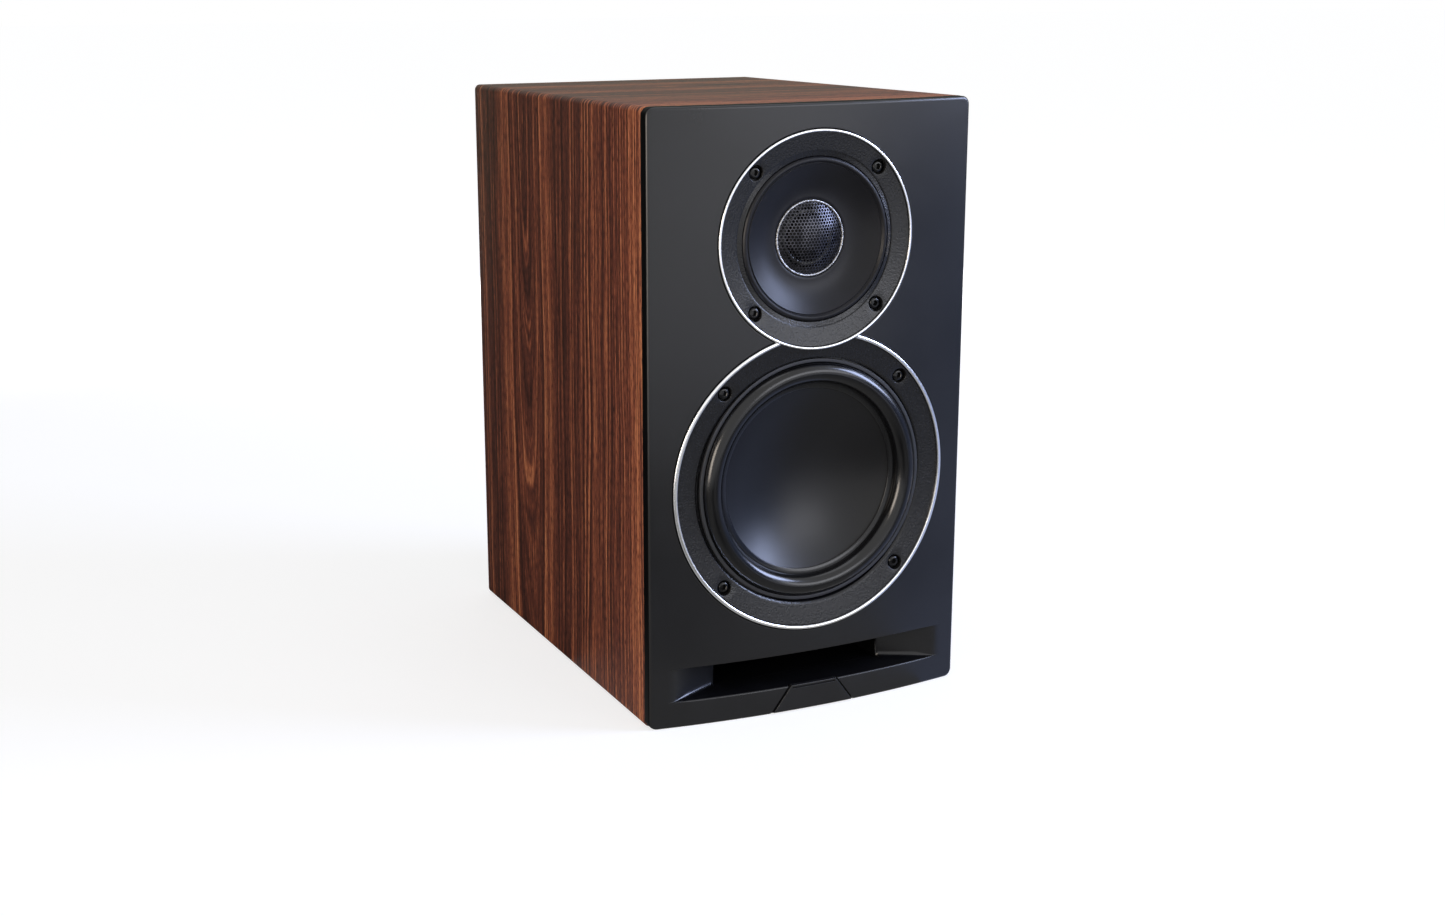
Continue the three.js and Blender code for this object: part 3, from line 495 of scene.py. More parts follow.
def makeWorld():
    scene.world = bpy.data.worlds.new("studio")
    tree = emptyTree(scene.world)
    soft, white = (addNode(tree, "ShaderNodeBackground",
                           {"Color": colour(tint), "Strength": strength})
                   for tint, strength in ((studio["worldTint"], studio["worldStrength"]),
                                          ("#ffffff", 1.0)))
    mixed = addNode(tree, "ShaderNodeMixShader", {0: seenDirectly(tree), 1: soft, 2: white})
    addNode(tree, "ShaderNodeOutputWorld", {"Surface": mixed})


def stageCard(name, points, faces, material):
    # part of the set: a bare mesh that isn't part of the object
    mesh = bpy.data.meshes.new(name)
    mesh.from_pydata(points, [], faces)
    mesh.materials.append(material)
    card = newObject(name, mesh)
    return card


def makeFloor():
    # pale paper sweep: white where it is seen, with the object's own soft shadow kept
    material, tree = newMaterial("paper_floor")
    paper = addNode(tree, "ShaderNodeBsdfDiffuse", {"Color": colour(studio["floorAlbedo"])})
    place = addNode(tree, "ShaderNodeTexCoord").outputs["Object"]
    away = addNode(tree, "ShaderNodeVectorMath", {0: place}, operation="LENGTH")
    (near, far), (start, end) = studio["floorGlow"], studio["glowReach"]
    level = addNode(tree, "ShaderNodeMapRange", {"Value": away.outputs["Value"], "From Min": start,
                                                 "From Max": end, "To Min": near, "To Max": far})
    glow = addNode(tree, "ShaderNodeEmission", {"Color": (1, 1, 1, 1), "Strength": level})
    lit = addNode(tree, "ShaderNodeAddShader", {0: paper, 1: glow})
    mixed = addNode(tree, "ShaderNodeMixShader", {0: seenDirectly(tree), 1: paper, 2: lit})
    addNode(tree, "ShaderNodeOutputMaterial", {"Surface": mixed})
    reach = studio["floorReach"]
    ends = [(-reach, -reach, 0), (reach, -reach, 0), (reach, reach, 0), (-reach, reach, 0)]
    stageCard("floor", ends, [(0, 1, 2, 3)], material)


def makeFlags():
    # glowing cards round the set, met only by glossy rays: painted reflections, so that dark parts
    # stay dark
    for name, (shade, radius, height, span) in flags.items():
        material, tree = newMaterial(name + "_card")
        place = addNode(tree, "ShaderNodeTexCoord").outputs["Object"]
        # the painted reflection's glow is mottled by a noise
        glowMottle = addNode(tree, "ShaderNodeTexNoise", {"Vector": place, "Scale": 3.0})
        tone = addNode(tree, "ShaderNodeValToRGB", {"Fac": glowMottle}, [(0.3, "#202020"), (0.55, shade)])
        card = addNode(tree, "ShaderNodeEmission", {"Color": tone})
        addNode(tree, "ShaderNodeOutputMaterial", {"Surface": card})
        turns = [math.radians(a) for a in np.linspace(*span, flagSteps + 1)]
        rim = [(radius * math.sin(a), radius * math.cos(a)) for a in turns]
        count = len(rim)
        if height:
            points = [(x, y, z) for z in (0, height) for x, y in rim]
            faces = [(k, k + 1, count + k + 1, count + k) for k in range(flagSteps)]
        else:
            points = [(x, y, flagLift) for x, y in [(0, 0), *rim]]
            faces = [(0, k + 1, k + 2) for k in range(flagSteps)]
        flag = stageCard(name, points, faces, material)
        for kind in ("camera", "diffuse", "transmission", "volume_scatter", "shadow"):
            setattr(flag, "visible_" + kind, False)


makeCamera()
makeLights()
makeWorld()
makeFloor()
makeFlags()
print("camera, lights and floor made")

wood = {
    "stripe": 4.2,  # mm between the darker stripes
    "figureLean": 0.075,  # how slowly the figure opens along the grain
    "figureHeart": (0.655, 0.198),  # metres along the wrap and back from the front, its centre
    "figureSway": 0.030,  # metres that the figure's lines wander
    "band": 34,  # mm, the broad lighter and darker zones
    "fibre": 1.0,  # mm across one fibre, drawn a little coarser than real
    "pore": 0.6,
    "pale": 0.17,  # painted light: how much lighter the faces are painted at the front, as a near lamp would light them
    # metres back from the front over which the painted light fades out
    "paintedLightReach": 0.11,
    "weights": (2.4, 0.8, 1.4, 0.7),  # of the stripes, zones, fibres and pores
    "middle": 0.42,  # where the sum of the layers centres on the colour ramp
}


def walnutWrap():
    # printed walnut foil, satin lacquer: straight dark stripes with a long pointed figure
    material, tree = newMaterial("walnut_foil")
    place = addNode(tree, "ShaderNodeUVMap", uv_map="grain").outputs["UV"]
    (along, across), lean = wood["figureHeart"], wood["figureLean"]
    drift, centred, longWay, shortWay = (
        addNode(tree, "ShaderNodeMapping", {"Vector": place, "Location": shift, "Scale": scale})
        for scale, shift in (((2.2, 14, 1), (0, 0, 0)),
                             ((lean, 1, 1), (-along * lean, -across, 0)),
                             ((0.018, 1, 1), (0, 0, 0)), ((0.12, 1, 1), (0, 0, 0))))
    sway = addNode(tree, "ShaderNodeTexNoise", {"Vector": drift, "Scale": 1.0, "Detail": 2.0})
    length = addNode(tree, "ShaderNodeVectorMath", {0: centred}, operation="LENGTH")
    swayed = addNode(tree, "ShaderNodeMath",
                     {0: sway, 1: wood["figureSway"], 2: length.outputs["Value"]},
                     operation="MULTIPLY_ADD")
    # the rings read as a line, so one noise gives stripes of uneven width
    lined = addNode(tree, "ShaderNodeCombineXYZ", {"X": swayed})
    mixed, layers = wood["middle"] - sum(wood["weights"]) / 2, {}
    for name, vector, detail, rough in (
            ("stripe", lined, 3.0, 0.75), ("band", lined, 1.0, 0.5),
            ("fibre", longWay, 3.0, 0.6), ("pore", shortWay, 2.0, 0.5)):
        layers[name] = addNode(tree, "ShaderNodeTexNoise",
                               {"Vector": vector, "Scale": 1 / (wood[name] * mm),
                                "Detail": detail, "Roughness": rough})
        mixed = addNode(tree, "ShaderNodeMath",
                        {0: layers[name], 1: wood["weights"][len(layers) - 1], 2: mixed},
                        operation="MULTIPLY_ADD")
    # painted light: each face of the wrap is painted paler towards the front, as a near lamp would
    # light it
    apart = addNode(tree, "ShaderNodeSeparateXYZ", {0: place})
    paintedFrontLight = addNode(tree, "ShaderNodeMapRange",
                    {"Value": apart.outputs["Y"], "From Max": wood["paintedLightReach"],
                     "To Min": wood["pale"], "To Max": 0.0})
    mixed = addNode(tree, "ShaderNodeMath", {0: mixed, 1: paintedFrontLight}, operation="ADD")
    tone = addNode(tree, "ShaderNodeValToRGB", {"Fac": mixed}, [
        (0.05, "#22110e"), (0.28, "#3c2019"), (0.48, "#5e3125"),
        (0.62, "#834630"), (0.76, "#ab6542"), (0.95, "#c58155")])
    dots = addNode(tree, "ShaderNodeValToRGB", {"Fac": layers["pore"]},
                   [(0.33, "#8a8a8a"), (0.42, "#ffffff")])
    dotted = addNode(tree, "ShaderNodeMix", {"Factor": 1.0, 6: tone, 7: dots},
                     data_type="RGBA", blend_type="MULTIPLY")
    dress(tree, {"IOR": 1.5, "Specular IOR Level": 0.4}, dotted.outputs[2], layers["fibre"],
          (0.46, 0.62), (0.12, 0.0002))
    return material


def spunMetal(name, tint, rough, line):
    # turned bright metal: a fine noise in roughness and bump, drawn coarser than the tool's marks
    material, tree = newMaterial(name)
    place = addNode(tree, "ShaderNodeTexCoord").outputs["Object"]
    rings = addNode(tree, "ShaderNodeTexNoise", {"Vector": place, "Scale": 1 / (line * mm),
                                                 "Detail": 3.0})
    dress(tree, {"Metallic": 1.0}, colour(tint), rings, (rough * 0.8, rough * 1.25),
          (0.05, 0.0001))
    return material


def threadWaves(tree, spacing, axes):
    # sine waves along the axes, spaced in mm, multiplied together and brought from 0 to 1
    place = addNode(tree, "ShaderNodeTexCoord").outputs["Object"]
    apart = addNode(tree, "ShaderNodeSeparateXYZ", {0: place})
    product = 1.0
    for axis in axes:
        turns = addNode(tree, "ShaderNodeMath",
                        {0: apart.outputs[axis], 1: 2 * math.pi / (spacing * mm)},
                        operation="MULTIPLY")
        wave = addNode(tree, "ShaderNodeMath", {0: turns}, operation="SINE")
        product = addNode(tree, "ShaderNodeMath", {0: wave, 1: product}, operation="MULTIPLY")
    return addNode(tree, "ShaderNodeMapRange", {"Value": product, "From Min": -1.0})


def woven(name, threads, dark, light, rough, strength, sheen=0.0, level=0.5):
    # cloth of two crossed sets of threads
    material, tree = newMaterial(name)
    height = threadWaves(tree, threads, "XZ")
    tone = addNode(tree, "ShaderNodeValToRGB", {"Fac": height}, [(0.1, dark), (0.9, light)])
    dress(tree, {"IOR": 1.5, "Sheen Weight": sheen, "Sheen Roughness": 0.4,
                 "Specular IOR Level": level},
          tone, height, (rough - 0.05, rough + 0.08), (strength, threads * mm * 0.4))
    return material


def wound(name, wire, dark, light):
    # enamelled copper wire wound in layers: rings of one wire's width about a line along Y
    material, tree = newMaterial(name)
    height = threadWaves(tree, wire, "Y")
    tone = addNode(tree, "ShaderNodeValToRGB", {"Fac": height}, [(0.0, dark), (0.7, light)])
    dress(tree, {"Metallic": 1.0}, tone, height, (0.42, 0.26), (0.5, wire * mm * 0.3))
    return material


finishes = {
    # slot: the material's own name, dark and light shade, patch and grit in mm, roughness
    # from and to, bump, share of the grit in the colour, and fixed values of the shader
    # injection-moulded ABS with a satin paint: almost smooth, a soft broad sheen
    "satin_baffle": ("satin_painted_abs", "#101011", "#161618", 60, 0.5, (0.27, 0.31), 0.05, 0.3),
    # the same moulding inside the duct, left bare; the same blackest finish is also painted as
    # shade on the port's floor and ceiling, round the moulding's rim and on the woofer flange's
    # inner wall
    "port_plastic": ("bare_moulded_abs", "#050506", "#08080a", 25, 0.6, (0.45, 0.55), 0.1, 0.3,
                     {"Specular IOR Level": 0.08}),
    # plate of the same painted ABS: a little duller than the baffle
    "badge_black": ("satin_abs_plate", "#101011", "#161618", 30, 0.5, (0.3, 0.36), 0.04, 0.3),
    # powder-coated flange: a fine sandy grain, drawn a little coarser than real grit
    "flange_black": ("black_powder_coat", "#030304", "#19191a", 3, 1.0, (0.22, 0.29), 0.4, 1.0,
                     {"Specular IOR Level": 0.4}),
    # moulded ABS waveguide with fine spark texture: even satin
    "waveguide_satin": ("spark_textured_abs", "#101013", "#16161a", 30, 0.4, (0.34, 0.4), 0.08, 0.3,
                        {"Specular IOR Level": 0.25}),
    # moulded rubber ring: smooth and slightly dusty
    "front_ring_rubber": ("moulded_rubber", "#232427", "#2c2d31", 14, 0.5, (0.46, 0.54), 0.08,
                          0.3),
    # butyl rubber roll: smooth with a glossy satin skin
    "surround_rubber": ("butyl_rubber", "#070708", "#0b0b0d", 20, 0.6, (0.17, 0.22), 0.03, 0.3),
    # polypropylene cone: one smooth satin dish
    "cone_black": ("moulded_polypropylene", "#0a0a0c", "#0f0f12", 45, 0.5, (0.32, 0.37), 0.05, 0.3,
                   {"Specular IOR Level": 0.38}),
    # black steel sheet, punched and painted: grey glints on its webs
    "mesh_steel": ("painted_punched_steel", "#1f1f24", "#5a5a61", 4, 0.4, (0.26, 0.34), 0.06, 0.3,
                   {"Metallic": 0.8}),
    # bare rolled edge of the same sheet: bright steel, with dark specks that break it into a dotted
    # ring of glints (painted highlights)
    "mesh_rim": ("rolled_steel_edge", "#0c0c0e", "#c4c4c6", 1.8, 0.9, (0.25, 0.4), 0.8, 0.4,
                 {"Metallic": 0.8}),
    # black oxide steel screws: dark with sharp small glints
    "black_screw": ("black_oxide_steel", "#050506", "#0a0a0c", 3, 0.3, (0.12, 0.18), 0.06, 0.3,
                    {"Specular IOR Level": 0.4}),
    # calendered vinyl on the back board: matt with a leather-like emboss
    "back_vinyl": ("embossed_vinyl", "#111113", "#1c1c1f", 12, 1.1, (0.5, 0.62), 0.5, 0.5),
    # terminal cup of moulded ABS with a coarse spark texture: even dull black
    "cup_plastic": ("coarse_moulded_abs", "#121214", "#1b1b1e", 18, 0.6, (0.42, 0.52), 0.25, 0.3),
    # clear-red and black acrylic clamp nuts: glossy moulded colour
    "red_cap": ("clear_red_acrylic", "#8f1013", "#b5161a", 8, 0.5, (0.16, 0.24), 0.02, 0.3),
    "black_cap": ("black_acrylic", "#0d0d0f", "#151517", 8, 0.5, (0.16, 0.24), 0.02, 0.3),
    # raw fibreboard: tan, felted, matt
    "fibreboard": ("raw_fibreboard", "#8b6f4e", "#a98d69", 14, 0.8, (0.82, 0.95), 0.35, 0.6),
    # polyester wadding: loose white fibre
    "wadding": ("polyester_wadding", "#b9b6ad", "#e2dfd7", 9, 1.5, (0.92, 1.0), 1.0, 0.8),
    # zinc-plated steel: grey with soft clouds
    "plated_steel": ("zinc_plated_steel", "#8f9295", "#b4b7b9", 7, 0.5, (0.28, 0.42), 0.08, 0.3,
                     {"Metallic": 1.0}),
    # sintered ferrite: dull, dark grey, faintly pitted
    "ferrite": ("sintered_ferrite", "#262626", "#363535", 5, 0.5, (0.7, 0.85), 0.3, 0.6),
    # closed-cell foam gasket: fine grain without a shine
    "gasket_foam": ("closed_cell_foam", "#141415", "#202022", 3, 0.6, (0.85, 0.95), 0.7, 0.7),
    # die-cast frame under black powder coat: grey-black with a broken shine
    "cast_frame": ("powder_coated_casting", "#1b1c1e", "#2b2c2e", 8, 0.7, (0.5, 0.62), 0.35, 0.3,
                   {"Metallic": 0.3}),
    # glass-fibre board under green resist: even green, softly glossy
    "circuit_board": ("glass_fibre_board", "#173d22", "#21522f", 6, 0.4, (0.32, 0.44), 0.15, 0.3),
    # polyester film wrapped over the capacitors: amber and smooth with a clear sheen
    "capacitor_film": ("polyester_film", "#b78f2c", "#d3ad45", 10, 0.6, (0.3, 0.4), 0.08, 0.3),
    # white cement resistor body: chalky and finely pitted
    "resistor_ceramic": ("white_cement", "#aaa69b", "#c9c5ba", 4, 0.5, (0.75, 0.9), 0.4, 0.5),
    # extruded PVC lead jacket: plain soft gloss
    "lead_jacket": ("extruded_pvc", "#121214", "#1a1a1d", 8, 0.5, (0.38, 0.46), 0.05, 0.3),
}
materials = {slot: grained(*look) for slot, look in finishes.items()}
materials["walnut_wrap"] = walnutWrap()
# polished aluminium ring: mirror-bright, only faint turning marks
materials["bright_trim"] = spunMetal("polished_trim", "#f6f6f7", 0.24, 0.5)
# gold-plated brass posts
materials["gold_brass"] = spunMetal("gold_plated_brass", "#e3b95c", 0.2, 0.4)
# silk dome under a damping coat, with its weave just showing; threads drawn 2x coarser
materials["dome_cloth"] = woven("coated_silk", 0.5, "#060607", "#0d0d0f", 0.42, 0.25, 0.0, 0.2)
# phenolic-treated cotton spider, tan, open weave
materials["spider_cloth"] = woven("treated_cotton", 0.8, "#8a6a34", "#b0904e", 0.8, 0.6, 0.2)
materials["copper_winding"] = wound("enamelled_copper", 0.9, "#6d3418", "#c9763e")
print("materials made")


case = {
    "behindBaffle": 7.1,  # front edge of the wrap behind the baffle's bowed front
    "round": 3.5,
    "wall": 13,
    "edgeRound": 0.35,
    "rearRound": 0.8,
}


def makeCase():
    # one wrap folded round four mitred boards, its grain running round the case; each row is
    # (loop, y for each point, shift of the grain's own place across it in mm)
    shape = newShape()
    outer = roundedLoop(halfWidth, 0, caseHeight, case["round"])
    inner = roundedLoop(halfWidth - case["wall"], case["wall"], caseHeight - case["wall"], 0.4)
    steps = np.hypot(*np.diff(np.vstack([outer, outer[:1]]), axis=0).T)
    run = np.concatenate([[0], np.cumsum(steps)]) * mm

    def inset(amount):
        return outer + (inner - outer) * (amount / case["wall"])

    def atFront(loop, depth):
        return [faceY(x, case["behindBaffle"] + depth) for x, _ in loop]

    r, back, wall = case["edgeRound"], case["rearRound"], case["wall"]
    count = len(outer)
    lip, rear = atFront(outer, r), backY - back
    rows = [(inner, atFront(inner, 0), -wall), (inset(r), atFront(inset(r), 0), -r),
            (inset(r * 0.3), atFront(outer, r * 0.3), -r * 0.3), (outer, lip, 0)]
    rows += [(outer, [y + (rear - y) * share for y in lip], 0) for share in (0.25, 0.5, 0.75)]
    rows += [(outer, [rear] * count, 0), (inset(back * 0.3), [backY - back * 0.3] * count, 0),
             (inset(back), [backY] * count, 0), (inner, [backY] * count, wall)]
    rings = [addRing(shape, [(x, y, z) for (x, z), y in zip(loop, ys)]) for loop, ys, _ in rows]
    across = [[(y - crest + shift) * mm for y in ys] for _, ys, shift in rows]
    for k in range(len(rings)):
        a, b = rings[k], rings[(k + 1) % len(rings)]
        va, vb = across[k], across[(k + 1) % len(rings)]
        for i in range(count):
            j = (i + 1) % count
            shape["faces"].append((a[i], a[j], b[j], b[i]))
            shape["uvs"].append([(run[i], va[i]), (run[i + 1], va[j]),
                                 (run[i + 1], vb[j]), (run[i], vb[i])])
    piece = toObject("case_wrap", shape, sharp=40)
    settle(piece, "walnut_wrap",
           ["left_side_panel", "right_side_panel", "top_panel", "bottom_panel"])


makeCase()
print("case made")

port = {
    "floor": 16.2,
    "height": 19.9,
    "mouth": 180,
    "throat": 112,
    "depth": 22.1,  # from the crest to the end of the flare
    "blend": 3.5,  # half the width over which the flare leaves the front
    "lipRound": 0.9,
    "topRound": 1.0,
    "floorFillet": 3.2,
    "topFillet": 0.8,
    "filletEase": 1.5,  # width beside the throat over which the fillets run out
    "shallow": 7,  # depth under which the roundings shrink with the flare
    "bossHalf": 75,
    "bossTop": 39,
    "bossBottom": 13.9,
}


def flareDepth(x):
    # depth of the flare's wall behind the bowed front
    x = abs(x)
    mouth, throat = port["mouth"] / 2, port["throat"] / 2
    if x <= throat:
        return port["depth"] - bow(x)
    edgeDepth = bow(mouth)
    slope = (port["depth"] - edgeDepth) / (mouth - throat)
    tipSlope = slope + 2 * front["bow"] * mouth / halfWidth ** 2
    u, w = mouth - x, port["blend"]
    if u <= -w:
        return 0.0
    if u < w:
        return tipSlope * (u + w) ** 2 / (4 * w)
    return port["depth"] - slope * (x - throat) - bow(x)


def portColumn(x):
    # path over the lip, along the floor, up the wall and out along the ceiling, as (z, depth)
    deep = flareDepth(x)
    low, high = port["floor"], port["floor"] + port["height"]
    share = min(1.0, deep / port["shallow"])
    nearThroat = min(1.0, max(0.0, (abs(x) - port["throat"] / 2) / port["filletEase"]))
    lip, top = port["lipRound"] * share, port["topRound"] * share
    under, over = (port[k] * share * nearThroat for k in ("floorFillet", "topFillet"))
    return ([(low - lip * s, lip * c) for s, c in quarter(4)]
            + [(low, lip + (deep - under - lip) * 0.5)]
            + [(low + under * c, deep - under * s) for s, c in quarter(7)]
            + [(high - over * s, deep - over * c) for s, c in quarter(3)]
            + [(high, top + (deep - over - top) * 0.5)]
            + [(high + top * c, top * s) for s, c in quarter(4)])


wallStart = 13  # the column's point where the upright wall leaves the floor's fillet


def rebateLoop(grow):
    # outline of the two drivers' rebates, which run into each other
    big, small = front["wooferRebate"] + grow, front["tweeterRebate"] + grow
    a, b = crossing(big, small)
    return np.array(arc(wooferZ, big, a, -math.pi - a, 150)
                    + arc(tweeterZ, small, math.pi - b, b, 110))


def makeBaffle():
    shape = newShape()
    outline = lambda inset: roundedLoop(halfWidth - inset, inset, caseHeight - inset,
                                        front["corner"] - inset, 30, 52, 9)
    r, rr, hold = front["edgeRound"], front["rearRound"], front["hold"]
    outer = stackRings(shape, [atFace(outline(r + hold), 0),
                               *(atFace(outline(r * s), r * c) for s, c in quarter(5)),
                               atFace(outline(0), front["edge"] - rr),
                               atFace(outline(rr), front["edge"])])

    # back of the moulding: a bowed rim, an inner pad with a flat back, and the port's boss
    pad = roundedLoop(halfWidth - front["padWall"], front["padWall"],
                      caseHeight - front["padWall"], 1, 30, 52, 3)
    padRings = stackRings(shape, [atFace(pad, front["edge"]), atDepth(pad, front["seam"])])
    fillBetween(shape, [outer[-1], padRings[0]], bowed(front["edge"]))
    boss = roundedLoop(port["bossHalf"], port["bossBottom"], port["bossTop"], 1, 30, 6, 3)
    bossRings = stackRings(shape, [atDepth(boss, front["seam"]), atDepth(boss, port["depth"])])
    holes = (circle((0, wooferZ), front["wooferHole"]),
             circle((0, tweeterZ), front["tweeterHole"]))
    holeRings = [stackRings(shape, [atDepth(h, front["rebate"]), atDepth(h, front["seam"])])
                 for h in holes]
    fillBetween(shape, [padRings[1], bossRings[0], holeRings[0][1], holeRings[1][1]],
                flatAt(front["seam"]), 12)

    # rebates
    q = front["rebateRound"]
    steps = [(q + hold, 0), (q, 0), (q * 0.3, q * 0.12), (q * 0.12, q * 0.3), (0, q)]
    rebate = [atFace(rebateLoop(grow), depth) for grow, depth in steps]
    rebate.append(atDepth(rebateLoop(0), front["rebate"]))
    rebateRings = stackRings(shape, rebate)
    fillBetween(shape, [rebateRings[-1], holeRings[0][0], holeRings[1][0]],
                flatAt(front["rebate"]))

    # slot port
    tip = port["mouth"] / 2 + port["blend"]
    throat = port["throat"] / 2
    ease = [1 - (1 - k / 26) ** 1.25 for k in range(27)]
    right = [tip - (tip - throat - 1.5) * e for e in ease] + [throat + 0.75]
    inside = list(np.linspace(throat, -throat, 29))
    places = right + inside + [-x for x in reversed(right)]
    columns = [addRing(shape, [(x, faceY(x, d), z) for z, d in portColumn(x)]) for x in places]
    for xa, xb, a, b in zip(places, places[1:], columns, columns[1:]):
        openHere = abs(xa + xb) / 2 < throat
        shape["faces"] += [(a[k], a[k + 1], b[k + 1], b[k]) for k in range(len(a) - 1)
                           if not (openHere and k == wallStart)]
    mouthLoop = [c[0] for c in columns] + [c[-1] for c in reversed(columns)]
    innerColumns = columns[len(right):len(right) + len(inside)]
    throatLoop = ([c[wallStart] for c in innerColumns]
                  + [c[wallStart + 1] for c in reversed(innerColumns)])
    fillBetween(shape, [bossRings[1], throatLoop], flatAt(port["depth"]))
    fillBetween(shape, [outer[0], rebateRings[0], mouthLoop], bowed(0), 7)
    return toObject("baffle_moulding", shape, sharp=34)


badge = {
    "topWidth": 30,
    "bottomWidth": 53.4,
    "bottom": 0.9,
    "top": 16.6,
    "proud": 0.8,
    "bed": 2.2,
    "gap": 1.1,
    "edgeRound": 0.4,
    "groove": 1.1,  # width of the line pressed in under its top edge
    "grooveDrop": 1.0,
    "grooveInset": 1.3,
}


def badgeLoop(inset, bottom=None, top=None):
    low = badge["bottom"] if bottom is None else bottom
    high = badge["top"] if top is None else top
    slope = (badge["bottomWidth"] - badge["topWidth"]) / 2 / (badge["top"] - badge["bottom"])
    lean = math.sqrt(1 + slope ** 2)
    at = lambda z: badge["bottomWidth"] / 2 - slope * (z - badge["bottom"]) - inset * lean
    low, high = low + inset, high - inset
    across = lambda z, sign: [(sign * at(z) * (1 - 2 * k / 16), z) for k in range(16)]
    sides = lambda za, zb, sign: [(sign * at(za + (zb - za) * k / 6), za + (zb - za) * k / 6)
                                  for k in range(6)]
    return np.array(across(low, -1) + sides(low, high, 1) + across(high, 1)
                    + sides(high, low, -1))


def baked(piece):
    # plain mesh of the piece with its modifiers applied
    return bpy.data.meshes.new_from_object(
        piece.evaluated_get(bpy.context.evaluated_depsgraph_get()))


def cutAway(piece, cutter):
    # takes the cutter's shape out of the piece and throws the cutter away
    tool = piece.modifiers.new("cut", "BOOLEAN")
    tool.operation = "DIFFERENCE"
    tool.solver = "EXACT"
    tool.object = cutter
    done = baked(piece)
    piece.modifiers.remove(tool)
    old = piece.data
    piece.data = done
    bpy.data.meshes.remove(old)
    done.name = piece.name
    bpy.data.objects.remove(cutter)


def makeBadgeBed(piece):
    shape = newShape()
    loop = badgeLoop(-badge["gap"], bottom=-6, top=badge["top"] + 0.05)
    depths = (-6, badge["bed"])
    for ring, depth in zip(stackRings(shape, [atFace(loop, d) for d in depths]), depths):
        fillBetween(shape, [ring], bowed(depth))
    cutter = toObject("bed_cutter", shape)
    cutAway(piece, cutter)
    weld(piece.data, 34)


def makeBadge():
    # bare plate with a rounded edge and one line pressed in along its top
    shape = newShape()
    r, g, proud = badge["edgeRound"], badge["groove"], badge["proud"]
    back = badge["bed"] - 0.3  # glue under it
    made = stackRings(shape, [atFace(badgeLoop(0), back),
                              *(atFace(badgeLoop(r * c), r * s - proud) for s, c in quarter(4))])
    inset, top = badge["grooveInset"], badge["top"] - badge["grooveDrop"]
    line = lambda more: badgeLoop(inset + more, top - g - inset, top + inset)
    groove = stackRings(shape, [atFace(line(0), -proud), atFace(line(0.1), 0.1 - proud),
                                atFace(line(g * 0.3), g * 0.8 - proud)])
    fillBetween(shape, [made[0]], bowed(back), 3)
    fillBetween(shape, [made[-1], groove[0]], bowed(-proud), 3)
    fillBetween(shape, [groove[-1]], bowed(g * 0.8 - proud))
    piece = toObject("badge_blank", shape, sharp=24)
    settle(piece, "badge_black", ["badge_plate"])


def paintedShadeFaces(x, y, z, normal):
    # painted shade: the port's floor and ceiling, the moulding's outer sides and the back of its
    # rounded rim take the blackest finish
    rim = front["edgeRound"] + 0.05
    atRim = abs(x) > halfWidth - rim or not rim < z < caseHeight - rim
    inPort = (abs(x) < port["mouth"] / 2 and y - faceY(x, 0) > 1
              and abs(z - port["floor"] - port["height"] / 2) < 10)
    return inPort and abs(normal.z) > 0.8 or atRim and abs(normal.y) < 0.62


baffle = makeBaffle()
makeBadgeBed(baffle)
settle(baffle, "satin_baffle", ["front_baffle"])
# painted shade on the port and round the rim
paintSome(baffle, "port_plastic", paintedShadeFaces)
makeBadge()
print("baffle, port and badge made")

tweeter = {
    "radius": 62.6,
    "trimWidth": 1.4,
    "proud": 0.8,
    "trimBack": 6,
    "trimCut": 0.69,  # how far from its corners the trim's crown starts
    "recess": 0.7,
    "dish": 2.3,
    "screwCircle": 55.9,
    "screwSeat": 7.1,  # depth that its screws' heads rest at
    "pocket": 4.5,
    "pocketFloor": 7.4,
    "pocketRound": 0.25,
    "edgeRound": 0.12,
    "edgeHold": 0.06,  # flat strip beside the rounded edge, clear of the screw pockets
    "step": 50.2,
    "waveguide": 46.9,
    "lipWidth": 3.5,
    "lipDepth": 3.5,
    "dishDepth": 4.6,
    "throatDepth": 11.6,
    "throat": 22.5,
    "dome": 12.9,
    "domeHeight": 5.1,
    "domeWall": 0.3,
    "domeBase": 15.3,
    "rollWidth": 4.4,
    "rollHeight": 1.6,
    "rollWall": 0.5,
    "rim": 2.5,
}


def diagonals(centre, wide, tall):
    # four places about a centre
    return [(centre[0] + sx * wide, centre[1] + sz * tall)
            for sx, sz in ((1, 1), (-1, 1), (-1, -1), (1, -1))]


def driverRings(centreZ, frontY, count):
    # rings about a driver's axis: on its face, so much deeper, and at a flat depth
    def onFace(loop, extra=0):
        return [(x, frontY(x, z) + extra, z) for x, z in loop]

    def ring(radius, extra=0):
        return onFace(circle((0, centreZ), radius, count), extra)

    def flat(radius, depth):
        return atDepth(circle((0, centreZ), radius, count), depth)

    return onFace, ring, flat


def dished(part, centreZ, edge, inner):
    # a flange's face: it falls evenly from its edge to its inner ring
    return lambda x, z: faceY(x, part["recess"] + part["dish"]
                              * (edge - math.hypot(x, z - centreZ)) / (edge - inner))


def plate(name, outerRings, innerRings, screws, frontY, backDepth):
    # moulded ring between an outer and an inner edge, with screw pockets through its front;
    # both sets of rings run from the front face to the back
    shape = newShape()
    outer, inner = stackRings(shape, outerRings), stackRings(shape, innerRings)
    places, radius, floor, rounding = screws
    tops, bottoms = [], []
    for place in places:
        rows = [[(x, frontY(x, z) + rounding * c, z)
                 for x, z in circle(place, radius + rounding * s, 40)] for s, c in quarter(3)]
        made = stackRings(shape, [*rows, atDepth(circle(place, radius, 40), floor)])
        tops.append(made[0])
        if floor < backDepth:
            fillBetween(shape, [made[-1]], flatAt(floor))
        else:
            bottoms.append(made[-1])
    fillBetween(shape, [outer[0], inner[0], *tops], frontY, 4)
    fillBetween(shape, [outer[-1], inner[-1], *bottoms], flatAt(backDepth))
    return toObject(name, shape, 34)


